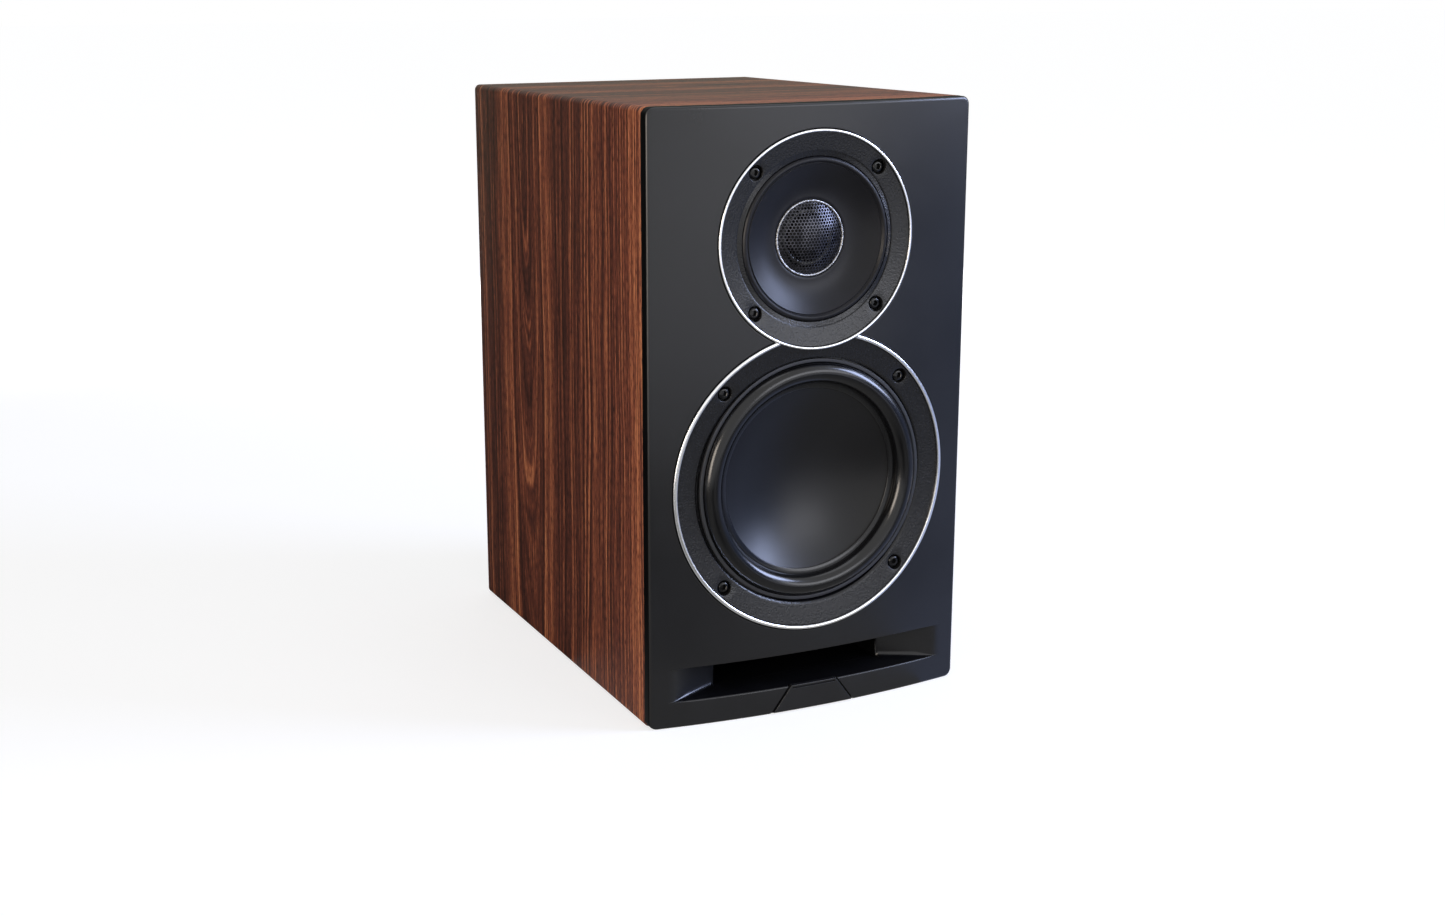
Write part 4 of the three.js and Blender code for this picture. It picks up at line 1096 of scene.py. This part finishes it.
def makeTweeterFlange():
    t, hold = tweeter, front["hold"]
    rimBack = front["rebate"] - 0.3
    edge = t["radius"] - t["trimWidth"] - 0.3
    frontY = dished(t, tweeterZ, edge, t["step"])
    _, ring, flat = driverRings(tweeterZ, frontY, 160)
    e = t["edgeRound"]
    outerRings = [ring(edge - e - t["edgeHold"]), ring(edge - e), ring(edge - e * 0.3, e * 0.3),
                  ring(edge, e), flat(edge, t["trimBack"] + 0.3),
                  flat(t["radius"], t["trimBack"] + 0.3), flat(t["radius"], rimBack)]
    bore = t["waveguide"] + 0.3
    innerRings = [ring(t["step"] + 0.5 + hold), ring(t["step"] + 0.5),
                  ring(t["step"] + 0.15, 0.12), ring(t["step"], 0.45),
                  flat(bore + 0.25, 4.5), flat(bore, 4.9), flat(bore, rimBack)]
    half = t["screwCircle"] / math.sqrt(2)
    screws = (diagonals((0, tweeterZ), half, half), t["pocket"], t["pocketFloor"],
              t["pocketRound"])
    piece = plate("tweeter_flange_face", outerRings, innerRings, screws, frontY, rimBack)
    settle(piece, "flange_black", ["tweeter_flange"])


def addTurned(name, profile, centreZ, count, sharp, finish, nodes, body="cabinet", span=None):
    piece = toObject(name, turned(profile, centreZ, count, span=span), sharp)
    settle(piece, finish, nodes, body)
    return piece


def trimProfile(part, back, cut):
    # slim ring of metal, its front crowned and following the baffle's bow
    outer, inner = part["radius"], part["radius"] - part["trimWidth"]
    return softened([(inner, back), (inner, -part["proud"], 1, cut),
                     (outer, -part["proud"], 1, cut), (outer, back)])


def makeTweeterTrim():
    addTurned("tweeter_trim", trimProfile(tweeter, tweeter["trimBack"], tweeter["trimCut"]),
              tweeterZ, 192, 40, "bright_trim", ["tweeter_trim_ring"])


def makeWaveguide():
    t = tweeter
    lipInner = t["waveguide"] - t["lipWidth"]
    run, fall = t["throat"] + 0.4 - lipInner + 0.5, t["throatDepth"] - t["dishDepth"]
    dish = [(lipInner - 0.5 + run * k / 16, t["dishDepth"] + fall * math.sin(k / 32 * math.pi))
            for k in range(17)]
    back, seat, bore = 15, 13, t["dome"] + t["rollWidth"] + 0.3
    profile = softened([
        (t["waveguide"], 4.5, 0, 0.2), (t["waveguide"] - 1, t["lipDepth"], 0, 0.5),
        (lipInner + 1.1, t["lipDepth"], 0, 0.4), (lipInner + 0.1, t["dishDepth"] + 0.5, 0, 0.25),
        *dish, (t["throat"], t["throatDepth"] + 0.3, 0, 0.2), (t["throat"], seat), (bore, seat),
        (bore, back), (t["waveguide"], back)], 3)
    addTurned("waveguide_horn", profile, tweeterZ, 160, 38, "waveguide_satin",
              ["tweeter_waveguide"])


def makeDome():
    t = tweeter

    def shell(shrink):
        turns = [k / 12 * math.pi / 2 for k in range(12)]
        height = t["domeHeight"] - shrink
        return [*(((t["dome"] - shrink) * math.cos(a), t["domeBase"] - height * math.sin(a), 0)
                  for a in turns), (0, t["domeBase"] - height, 0)]

    addTurned("silk_dome", shell(t["domeWall"])[::-1] + shell(0), tweeterZ, 72, 50, "dome_cloth",
              ["tweeter_dome"], "tweeter_dome_body")


def bendRound(piece):
    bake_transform(piece)


def makeTweeterRoll():
    t = tweeter
    inner, outer = t["dome"] + 0.3, t["dome"] + t["rollWidth"]
    centre, half = (inner + outer) / 2, (outer - inner) / 2
    fronts = [(centre - half * math.cos(a), t["domeBase"] - t["rollHeight"] * math.sin(a), 0)
              for a in (k / 12 * math.pi for k in range(13))]
    fronts.append((outer + t["rim"], t["domeBase"], 0))
    backs = [(r, d + t["rollWall"], 0) for r, d, _ in reversed(fronts)]
    piece = addTurned("tweeter_roll", fronts + backs, tweeterZ, 96, 60, "surround_rubber",
                      ["tweeter_surround"], None)
    bendRound(piece)


makeTweeterFlange()
makeTweeterTrim()
makeWaveguide()
makeDome()
makeTweeterRoll()
print("tweeter made")

woofer = {
    "radius": 89.35,
    "trimWidth": 2.25,
    "proud": 0.8,
    "back": 8.5,
    "trimCut": 1.1,
    "recess": 0.7,
    "dish": 2.9,  # how much deeper the band lies at its inner edge
    "bandInner": 73.6,
    "bevel": 1.4,
    "screwCircle": 81.5,
    "screwSeat": 8.5,
    "pocket": 4.5,
    "pocketRound": 0.35,
    "biteRadius": 62.9,
    "edgeRound": 0.2,
    "edgeHold": 0.12,
    "seat": 73.3,
    "ringWidth": 2.8,
    "ringGap": 0.6,  # dark line left between the ring and the band
    "ringFront": 5.8,
    "ringBack": 7.6,
    "rollOuter": 70.5,
    "rimFront": 7.9,
    "rimBack": 8.5,
    "crest": 1.8,
    "rollWall": 1,
    "cone": 57.4,
    "coneRim": 9.9,
    "dishDepth": 17,
    "coneWall": 0.8,
    "glue": 54.4,
    "coil": 16.3,
    "spiderDepth": 38,
    "spiderRadius": 49.7,
    "spiderWall": 0.6,
    "spiderWave": 1.6,
    "spiderWaves": 4,
}


def bittenLoop(radius, bite):
    # the woofer's outline where the tweeter's disc laps over it
    a, b = crossing(radius, bite)
    return np.array(arc(wooferZ, radius, a, -math.pi - a, 170)
                    + arc(tweeterZ, bite, -math.pi - b, b, 60))


def biteSpan(radius):
    # ends of the trim ring's arc at a radius, on the tweeter's circle
    a = crossing(radius, woofer["biteRadius"])[0]
    return a, -math.pi - a


def makeWooferFlange():
    w = woofer
    edge, inner = w["radius"] - w["trimWidth"] - 0.3, w["bandInner"]
    frontY = dished(w, wooferZ, edge, inner)
    onFace, ring, flat = driverRings(wooferZ, frontY, 200)
    e = w["edgeRound"]
    outerRings = [onFace(bittenLoop(edge - inset, w["biteRadius"] + inset), extra)
                  for inset, extra in ((e + w["edgeHold"], 0), (e, 0), (e * 0.3, e * 0.3), (0, e))]
    outerRings.append(atDepth(bittenLoop(edge, w["biteRadius"]), w["back"]))
    innerRings = [ring(inner + w["bevel"] + front["hold"]), ring(inner + w["bevel"]),
                  ring(inner + 0.25, 0.62), ring(inner, 0.95), flat(inner, w["back"])]
    half = w["screwCircle"] / math.sqrt(2)
    screws = (diagonals((0, wooferZ), half, half), w["pocket"], w["back"], w["pocketRound"])
    piece = plate("woofer_flange_face", outerRings, innerRings, screws, frontY, w["back"])
    settle(piece, "flange_black", ["woofer_flange"])
    # painted shade: the flange's inner wall takes the blackest finish, a dark line round the seat
    # ring
    paintSome(piece, "port_plastic", lambda x, y, z, normal: (
        math.hypot(x, z - wooferZ) < inner + 0.1 and abs(normal.y) < 0.3))


def makeWooferTrim():
    addTurned("woofer_trim", trimProfile(woofer, woofer["back"], woofer["trimCut"]), wooferZ,
              240, 40, "bright_trim", ["woofer_trim_ring"], span=biteSpan)


def makeFrontRing():
    w = woofer
    inner, outer = w["seat"] - w["ringWidth"], w["seat"] - w["ringGap"]
    profile = softened([(inner, w["ringBack"]), (inner, w["ringFront"], 0, 0.6),
                        (outer, w["ringFront"], 0, 0.4), (outer, w["ringBack"])])
    addTurned("woofer_seat_ring", profile, wooferZ, 200, 40, "front_ring_rubber",
              ["woofer_front_ring"])


def makeWooferRoll():
    # half roll of rubber, its flap glued on the cone's edge
    w = woofer
    inner, outer = w["cone"] + 0.3, w["rollOuter"]
    start, end = w["coneRim"] - w["rollWall"], w["rimFront"]
    rise = (start + end) / 2 - w["crest"]
    fronts = [(inner + (outer - inner) * (1 - math.cos(t * math.pi)) / 2,
               start + (end - start) * t - rise * math.sin(t * math.pi), 0)
              for t in (k / 24 for k in range(25))]
    backs = [(r, d + w["rollWall"], 0) for r, d, _ in fronts[:-1]] + [(outer, w["rimBack"], 0)]
    flapBack, glue = w["coneRim"] - 0.3, w["glue"]
    profile = [(glue, flapBack - 0.2, 0), (glue + 0.3, flapBack - 0.5, 0), *fronts,
               (w["seat"], end, 0), (w["seat"], w["rimBack"], 0), *backs[::-1],
               (glue, flapBack, 0)]
    piece = addTurned("woofer_roll", profile, wooferZ, 200, 60, "surround_rubber",
                      ["woofer_surround"], None)
    bendRound(piece)


def makeCone():
    # one-piece dish, parabolic, without a dust cap
    w = woofer
    radii = [w["cone"] * (1 - k / 28) for k in range(28)] + [0]
    fronts = [(r, w["coneRim"] + w["dishDepth"] * (1 - (r / w["cone"]) ** 2), 0) for r in radii]
    backs = [(r, d + w["coneWall"], 0) for r, d, _ in reversed(fronts)]
    addTurned("cone_dish", fronts + backs, wooferZ, 180, 60, "cone_black", ["woofer_cone"],
              "woofer_cone_body")


def makeSpider():
    w = woofer
    inner, outer = w["coil"], w["spiderRadius"]
    count = w["spiderWaves"] * 12
    fronts = [(inner + (outer - inner) * t, w["spiderDepth"] - w["spiderWall"]
               - w["spiderWave"] * (1 - math.cos(t * 2 * math.pi * w["spiderWaves"])) / 2, 0)
              for t in (k / count for k in range(count + 1))]
    backs = [(r, d + w["spiderWall"], 0) for r, d, _ in reversed(fronts)]
    piece = addTurned("woofer_spider_cloth", fronts + backs, wooferZ, 120, 60, "spider_cloth",
                      ["woofer_spider"], None)
    bendRound(piece)


makeWooferFlange()
makeWooferTrim()
makeFrontRing()
makeWooferRoll()
makeCone()
makeSpider()
print("woofer made")


def newTree(name, inputs):
    # Geometry Nodes tree with named inputs; gives back the tree and its input sockets
    tree = bpy.data.node_groups.new(name, "GeometryNodeTree")
    for label, kind, way in (("Geometry", "Geometry", "INPUT"),
                             *((label, kind, "INPUT") for label, kind in inputs.items()),
                             ("Geometry", "Geometry", "OUTPUT")):
        tree.interface.new_socket(label, in_out=way, socket_type="NodeSocket" + kind)
    start = tree.nodes.new("NodeGroupInput")
    return tree, {s.name: s for s in start.outputs if s.name}


def endTree(tree, geometry, material):
    real = addNode(tree, "GeometryNodeRealizeInstances", {"Geometry": geometry})
    painted = addNode(tree, "GeometryNodeSetMaterial", {"Geometry": real, "Material": material})
    addNode(tree, "NodeGroupOutput", {"Geometry": painted})
    return tree


def runTree(name, tree, values, base=None):
    # runs the tree on a base mesh and keeps the plain result as a new object
    host = newObject(name + "_host", base or bpy.data.meshes.new(name + "_base"))
    modifier = host.modifiers.new("tree", "NODES")
    modifier.node_group = tree
    identifiers = {i.name: i.identifier for i in tree.interface.items_tree
                   if i.item_type == "SOCKET" and i.in_out == "INPUT"}
    for label, value in values.items():
        modifier[identifiers[label]] = value
    done = baked(host)
    host.modifiers.remove(modifier)
    bpy.data.objects.remove(host)
    done.name = name
    return newObject(name, done)


grille = {
    "radius": 22.0,
    "pitch": 2.0,  # from hole to hole, three ways
    "web": 0.42,
    "wall": 0.45,
    "crown": 6.0,  # depth of its middle behind the crest
    "rim": 12.7,
    "rimWidth": 1.1,
    "cells": 61,  # along each side of the lattice, enough to cover the radius
    "merge": 0.02,
}


def grilleTree():
    # domed sheet with hexagonal holes: the dual of a triangle lattice, each cell opened
    tree, given = newTree("perforatedDome", {
        "Radius": "Float", "Pitch": "Float", "Hole Share": "Float", "Wall": "Float",
        "Height": "Float", "Cells": "Int", "Merge": "Float", "Material": "Material"})
    lattice = addNode(tree, "GeometryNodeMeshGrid", {"Size X": 1.0, "Size Y": 1.0,
                                                     "Vertices X": given["Cells"],
                                                     "Vertices Y": given["Cells"]})
    place = addNode(tree, "GeometryNodeInputPosition").outputs[0]
    apart = addNode(tree, "ShaderNodeSeparateXYZ", {0: place})
    # sizes the unit grid so that neighbours stand one pitch apart, then leans it by half
    steps = addNode(tree, "ShaderNodeMath", {0: given["Cells"], 1: 1.0}, operation="SUBTRACT")
    reach = addNode(tree, "ShaderNodeMath", {0: steps, 1: given["Pitch"]}, operation="MULTIPLY")
    wide, tall = (addNode(tree, "ShaderNodeMath", {0: apart.outputs[axis], 1: reach},
                          operation="MULTIPLY") for axis in "XY")
    leaned = addNode(tree, "ShaderNodeMath", {0: tall, 1: 0.5, 2: wide},
                     operation="MULTIPLY_ADD")
    risen = addNode(tree, "ShaderNodeMath", {0: tall, 1: math.sqrt(3) / 2},
                    operation="MULTIPLY")
    moved = addNode(tree, "ShaderNodeCombineXYZ", {"X": leaned, "Y": risen})
    triangles = addNode(tree, "GeometryNodeTriangulate", {0: lattice})
    sheet = addNode(tree, "GeometryNodeSetPosition", {"Geometry": triangles, "Position": moved})
    cells = addNode(tree, "GeometryNodeDualMesh", {"Mesh": sheet})
    away = addNode(tree, "ShaderNodeVectorMath", {0: place}, operation="LENGTH")
    outside = addNode(tree, "FunctionNodeCompare", {0: away.outputs["Value"], 1: given["Radius"]},
                      data_type="FLOAT", operation="GREATER_THAN")
    kept = addNode(tree, "GeometryNodeDeleteGeometry", {"Geometry": cells, "Selection": outside},
                   domain="FACE")
    opened = addNode(tree, "GeometryNodeExtrudeMesh",
                     {"Mesh": kept, "Offset Scale": 0.0, "Individual": True})
    shrunk = addNode(tree, "GeometryNodeScaleElements",
                     {"Geometry": opened, "Selection": opened.outputs["Top"],
                      "Scale": given["Hole Share"]})
    webs = addNode(tree, "GeometryNodeDeleteGeometry",
                   {"Geometry": shrunk, "Selection": opened.outputs["Top"]}, domain="FACE")
    joined = addNode(tree, "GeometryNodeMergeByDistance",
                     {"Geometry": webs, "Distance": given["Merge"]})
    thick = addNode(tree, "GeometryNodeExtrudeMesh",
                    {"Mesh": joined, "Offset Scale": given["Wall"], "Individual": False})
    flipped = addNode(tree, "GeometryNodeFlipFaces", {"Mesh": joined})
    both = addNode(tree, "GeometryNodeJoinGeometry", {0: thick})
    tree.links.new(flipped.outputs[0], both.inputs[0])
    sealed = addNode(tree, "GeometryNodeMergeByDistance",
                     {"Geometry": both, "Distance": given["Merge"]})
    # parabolic fall over the radius, with the sheet's own thickness kept
    flat = addNode(tree, "ShaderNodeVectorMath", {0: place, 1: (1, 1, 0)}, operation="MULTIPLY")
    span = addNode(tree, "ShaderNodeVectorMath", {0: flat}, operation="LENGTH")
    share = addNode(tree, "ShaderNodeMath", {0: span.outputs["Value"], 1: given["Radius"]},
                    operation="DIVIDE")
    square = addNode(tree, "ShaderNodeMath", {0: share, 1: 2.0}, operation="POWER")
    drop = addNode(tree, "ShaderNodeMath", {0: square, 1: given["Height"]},
                   operation="MULTIPLY")
    fallen = addNode(tree, "ShaderNodeCombineXYZ", {"Z": drop})
    domed = addNode(tree, "ShaderNodeVectorMath", {0: place, 1: fallen}, operation="SUBTRACT")
    shaped = addNode(tree, "GeometryNodeSetPosition", {"Geometry": sealed, "Position": domed})
    return endTree(tree, shaped, given["Material"])


def makeGrille():
    g = grille
    piece = runTree("grille_sheet", grilleTree(), {
        "Radius": (g["radius"] - g["rimWidth"] * 0.5) * mm, "Pitch": g["pitch"] * mm,
        "Hole Share": 1 - g["web"] / g["pitch"], "Wall": g["wall"] * mm,
        "Height": (g["rim"] - g["crown"] - g["wall"]) * mm, "Cells": g["cells"],
        "Merge": g["merge"] * mm, "Material": materials["mesh_steel"]})
    # the tree builds it lying down; this stands it up with its crown forward
    for v in piece.data.vertices:
        x, y, z = v.co
        v.co = (x, (crest + g["crown"] + g["wall"]) * mm - z, tweeterZ * mm + y)
    weld(piece.data, 40, 0.01)
    settle(piece, "mesh_steel", ["tweeter_mesh"])
    r, inner, seat = g["radius"], g["radius"] - g["rimWidth"], g["rim"] - 1.5
    profile = softened([(inner, g["rim"]), (inner, seat, 0, 0.5), (r, seat, 0, 0.5),
                        (r, g["rim"])], 3)
    rim = toObject("grille_rim", turned(profile, tweeterZ, 96), 40)
    settle(rim, "mesh_rim")


makeGrille()
print("grille made")

screw = {
    "headRadius": 3.6,
    "headHeight": 3.2,
    "headRound": 1.6,
    "socket": 3.0,  # across its flats
    "socketDepth": 2.0,
    "shank": 2.0,
    "length": 22,
}


def hexLoop(flats, count=24):
    # points on a hexagon at even angles
    turns = [2 * math.pi * k / count for k in range(count)]
    radii = [flats / 2 / math.cos(a % (math.pi / 3) - math.pi / 6) for a in turns]
    return [(r * math.cos(a), r * math.sin(a)) for a, r in zip(turns, radii)]


def screwTemplate(size):
    # one socket screw at the origin, its head's front at y = 0, pointing back
    shape = newShape()
    r, c, shank = size["headRadius"], size["headRound"], size["shank"]
    under = size["headHeight"]
    tip = under + size["length"]
    rows = [(hexLoop(size["socket"]), size["socketDepth"]), (hexLoop(size["socket"]), 0.15),
            (hexLoop(size["socket"] + 0.3), 0)]
    rows += [(circle((0, 0), radius, 24), y) for radius, y in (
        *((r - c * s, c * d) for s, d in quarter(5)), (r, under), (shank, under),
        (shank, tip - shank), (0.3, tip))]
    made = stackRings(shape, [[(x, y, z) for x, z in loop] for loop, y in rows])
    capEnds(shape, made)
    return toObject("screw_template", shape, 40)


def ringTree():
    # copies of one part on a circle about a line along Y, each turned to face out or by chance
    tree, given = newTree("partsOnCircle", {
        "Part": "Object", "Circle Radius": "Float", "Count": "Int", "Start": "Float",
        "Depth": "Float", "Axis Height": "Float", "Axis Side": "Float",
        "Loose Turn": "Float", "Seed": "Int", "Material": "Material"})
    order = addNode(tree, "GeometryNodeInputIndex").outputs[0]
    points = addNode(tree, "GeometryNodePoints", {"Count": given["Count"]})
    share = addNode(tree, "ShaderNodeMath", {0: order, 1: given["Count"]}, operation="DIVIDE")
    angle = addNode(tree, "ShaderNodeMath", {0: share, 1: 2 * math.pi, 2: given["Start"]},
                    operation="MULTIPLY_ADD")
    side, height = (
        addNode(tree, "ShaderNodeMath",
                {0: addNode(tree, "ShaderNodeMath", {0: angle}, operation=wave),
                 1: given["Circle Radius"], 2: given[axis]}, operation="MULTIPLY_ADD")
        for wave, axis in (("COSINE", "Axis Side"), ("SINE", "Axis Height")))
    spot = addNode(tree, "ShaderNodeCombineXYZ", {"X": side, "Y": given["Depth"], "Z": height})
    placed = addNode(tree, "GeometryNodeSetPosition", {"Geometry": points, "Position": spot})
    info = addNode(tree, "GeometryNodeObjectInfo", {"Object": given["Part"]})
    chance = addNode(tree, "FunctionNodeRandomValue", {"ID": order, "Seed": given["Seed"]},
                     data_type="FLOAT")
    loose = addNode(tree, "ShaderNodeMath",
                    {0: chance.outputs[1], 1: given["Loose Turn"], 2: angle},
                    operation="MULTIPLY_ADD")
    back = addNode(tree, "ShaderNodeMath", {0: loose, 1: -1.0}, operation="MULTIPLY")
    turn = addNode(tree, "ShaderNodeCombineXYZ", {"Y": back})
    rotation = addNode(tree, "FunctionNodeEulerToRotation", {0: turn})
    copies = addNode(tree, "GeometryNodeInstanceOnPoints",
                     {"Points": placed, "Instance": info.outputs["Geometry"],
                      "Rotation": rotation})
    both = addNode(tree, "GeometryNodeJoinGeometry", {0: copies})
    tree.links.new(given["Geometry"], both.inputs[0])
    return endTree(tree, both, given["Material"])


partsOnCircle = ringTree()


def copiesOnCircle(name, part, radius, count, axis, depth, finish, start=0.0, loose=1.0,
                   seed=1, base=None):
    # the tree run with its sizes in mm
    return runTree(name, partsOnCircle, {
        "Part": part, "Circle Radius": radius * mm, "Count": count, "Start": start,
        "Depth": depth * mm, "Axis Side": axis[0] * mm, "Axis Height": axis[1] * mm,
        "Loose Turn": loose, "Seed": seed, "Material": materials[finish]}, base)


def makeDriverScrews():
    template = screwTemplate(screw)
    for driver, part, centreZ in (("tweeter", tweeter, tweeterZ), ("woofer", woofer, wooferZ)):
        piece = copiesOnCircle(driver + "_screws", template, part["screwCircle"], 4,
                               (0, centreZ), crest + part["screwSeat"] - screw["headHeight"],
                               "black_screw", math.pi / 4, seed=5)
        weld(piece.data, 40)
        settle(piece, "black_screw", [f"{driver}_screw_{k}" for k in range(1, 5)])
    bpy.data.objects.remove(template)


makeDriverScrews()
print("driver screws made")

cup = {
    "height": 105,
    "flangeWidth": 100,
    "flangeHeight": 76,
    "flangeWall": 2.2,
    "corner": 5,
    "width": 84,
    "tall": 56,
    "wall": 3,
    "depth": 24,
    "edgeRound": 0.8,
    "mouthRound": 1.2,
    "floorRound": 1.5,
    "screwInset": 6,
    "screwRadius": 3.7,
    "screwBore": 1.9,
    "screwSeat": 0.3,  # how deep the heads sit in the flange
    "post": 3.2,
}


def makeCup():
    c = cup
    shape = newShape()
    half, tall = c["flangeWidth"] / 2, c["flangeHeight"] / 2
    flange, corner, deep = c["flangeWall"], c["corner"], c["depth"]
    under = deep + c["wall"]

    def at(ring, depth):
        return [(x, backY - depth, z) for x, z in ring]

    def loop(wide, high, radius, depth):
        return at(roundedLoop(wide, c["height"] - high, c["height"] + high, radius, 18, 12, 7),
                  depth)

    def holes(places, sizes):
        # first and last ring of the hole at each place, through (radius, depth) sizes
        made = [stackRings(shape, [at(circle(p, r, 28), d) for r, d in sizes]) for p in places]
        return [m[0] for m in made], [m[-1] for m in made]

    e = c["edgeRound"]
    outer = stackRings(shape, [loop(half, tall, corner, flange),
                               *(loop(half - e * d, tall - e * d, corner - e * d, e * s)
                                 for s, d in quarter(4))])
    wide, high = c["width"] / 2 - c["wall"], c["tall"] / 2 - c["wall"]
    m, f = c["mouthRound"], c["floorRound"]
    inner = stackRings(shape, [
        *(loop(wide + m * s, high + m * s, corner - 1 + m * s, m * d) for s, d in quarter(4)),
        *(loop(wide - f * d, high - f * d, corner - 1, deep - f * s) for s, d in quarter(4))])
    box = stackRings(shape, [loop(c["width"] / 2, c["tall"] / 2, corner, d)
                             for d in (flange, under)])
    screwFronts, screwBacks = holes(
        diagonals((0, c["height"]), half - c["screwInset"], tall - c["screwInset"]),
        ((c["screwRadius"] + 0.25, 0), (c["screwRadius"], 0.3), (c["screwBore"], flange)))
    postFronts, postBacks = holes([(x, c["height"]) for x in (-posts["half"], posts["half"])],
                                  ((c["post"], deep), (c["post"], under)))
    for loops, depth, spacing in (([outer[-1], inner[0], *screwFronts], 0, 6),
                                  ([outer[0], box[0], *screwBacks], flange, None),
                                  ([inner[-1], *postFronts], deep, 6),
                                  ([box[1], *postBacks], under, None)):
        fillBetween(shape, loops, lambda x, z: backY - depth, spacing)
    settle(toObject("terminal_tray", shape, 34), "cup_plastic", ["terminal_cup"])


cupScrew = {
    "headRadius": 3.3,
    "headHeight": 0.5,
    "headRound": 0.2,
    "socket": 2.4,
    "socketDepth": 0.45,
    "shank": 1.5,
    "length": 11.2,
}


def makeCupScrews():
    template = screwTemplate(cupScrew)
    # the template points back from the front; here it points in from the back
    for v in template.data.vertices:
        v.co = (-v.co.x, -v.co.y, v.co.z)
    c = cup
    wide, tall = c["flangeWidth"] / 2 - c["screwInset"], c["flangeHeight"] / 2 - c["screwInset"]
    lean = math.atan2(tall, wide)
    for half, (start, nodes) in enumerate(((lean, (1, 3)), (math.pi - lean, (2, 4)))):
        piece = copiesOnCircle(f"cup_screws_{half}", template, math.hypot(wide, tall), 2,
                               (0, c["height"]), backY - c["screwSeat"], "black_screw", start,
                               seed=3 + half)
        weld(piece.data, 40)
        settle(piece, "black_screw", [f"terminal_screw_{k}" for k in nodes])
    bpy.data.objects.remove(template)


posts = {
    "half": 9.5,
    "stud": 2.9,
    "collar": 5.5,
    "tipRound": 0.5,
    "bore": 2.05,
    "boreDepth": 14,
    "washer": 6.0,
    "washerGap": 3.2,
    "cap": 6.5,
    "ribs": 20,
    "ribRadius": 0.55,
    "collarBand": 1.2,
}


def ribTemplate(length):
    # slim half-round rib along Y with tapered ends, standing out along +X
    shape = newShape()
    rows = []
    for y, size in ((0, 0.15), (0.6, 0.8), (1.2, 1), (length - 1.2, 1), (length - 0.6, 0.8),
                    (length, 0.15)):
        rows.append([(x, y, z) for x, z in circle((0, 0), posts["ribRadius"] * size, 8)])
    made = stackRings(shape, rows)
    capEnds(shape, made)
    return toObject("rib_template", shape, 70)


def makePosts():
    p = posts
    seat = backY - cup["depth"] + 0.3
    for tint, x in (("red", p["half"]), ("black", -p["half"])):
        def around(name, profile, count):
            profile = [(r, y, 0) for r, y in profile]
            return toObject(f"{tint}_{name}",
                            turned(profile, cup["height"], count, x=x, axisY=0), 35)

        low, high = corners(tint + "_post_stud")
        tail, tip, s, q, collar, bore = low.y, high.y, *(
            p[k] for k in ("stud", "tipRound", "collar", "bore"))
        stud = around("stud", [
            (0, tail), (s, tail), (s, seat), (collar, seat), (collar, seat + 2.6),
            (collar - 0.4, seat + 3), (s, seat + 3), (s, tip - q), (s - q, tip),
            (bore + 0.2, tip), (bore, tip - 0.3), (bore, tip - p["boreDepth"]),
            (0, tip - p["boreDepth"] - 1)], 48)
        settle(stud, "gold_brass", [tint + "_post_stud"])

        low, high = corners(tint + "_post_washer")
        a, b, r, gap = low.y, high.y, p["washer"], p["washerGap"]
        washer = around("washer", [(gap, a), (r - 0.3, a), (r, a + 0.3), (r, b - 0.3),
                                   (r - 0.3, b), (gap, b)], 64)
        settle(washer, "gold_brass", [tint + "_post_washer"], tint + "_clamp")

        low, high = corners(tint + "_post_cap")
        a, b, r = low.y, high.y, p["cap"]
        core, band = r - p["ribRadius"], a + p["collarBand"]
        body = around("cap_body", [
            (gap, a), (r - 0.6, a), (r - 0.2, a + 0.4), (r - 0.2, band), (core, band + 0.3),
            (core, b - 1.6), (core - 0.9, b - 0.5), (core - 1.4, b), (gap + 0.3, b),
            (gap, b - 0.3)], 80)
        rib = ribTemplate(b - band - 1.4)
        name = tint + "_cap"
        piece = copiesOnCircle(name + "_grip", rib, core, p["ribs"], (x, cup["height"]), band,
                               name, loose=0.0, base=body.data.copy())
        smoothed(piece.data, 35)
        settle(piece, name, [tint + "_post_cap"], name)
        bpy.data.objects.remove(rib)
        bpy.data.objects.remove(body)


makeCup()
makeCupScrews()
makePosts()
print("terminal cup and posts made")

keptNodes = {
    "back_panel": "back_vinyl",
    "port_duct": "port_plastic",
    "front_panel": "fibreboard",
    "window_brace": "fibreboard",
    "damping_mat": "wadding",
    "woofer_basket": "cast_frame",
    "woofer_gasket": "gasket_foam",
    "woofer_top_plate": "plated_steel",
    "woofer_magnet": "ferrite",
    "woofer_yoke": "plated_steel",
    "tweeter_top_plate": "plated_steel",
    "tweeter_magnet": "ferrite",
    "tweeter_yoke": "plated_steel",
    "woofer_voice_coil": "copper_winding",
    "tweeter_voice_coil": "copper_winding",
    "woofer_inductor": "copper_winding",
    "tweeter_inductor": "copper_winding",
    "crossover_board": "circuit_board",
    "woofer_capacitor": "capacitor_film",
    "tweeter_capacitor": "capacitor_film",
    "tweeter_resistor": "resistor_ceramic",
    "woofer_lead": "lead_jacket",
    "tweeter_lead": "lead_jacket",
}
for nodeName, finishName in keptNodes.items():
    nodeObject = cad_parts[nodeName]
    for materialSlot in nodeObject.material_slots:
        materialSlot.material = materials[finishName]
print("kept nodes painted")

scene.view_settings.view_transform = "Standard"
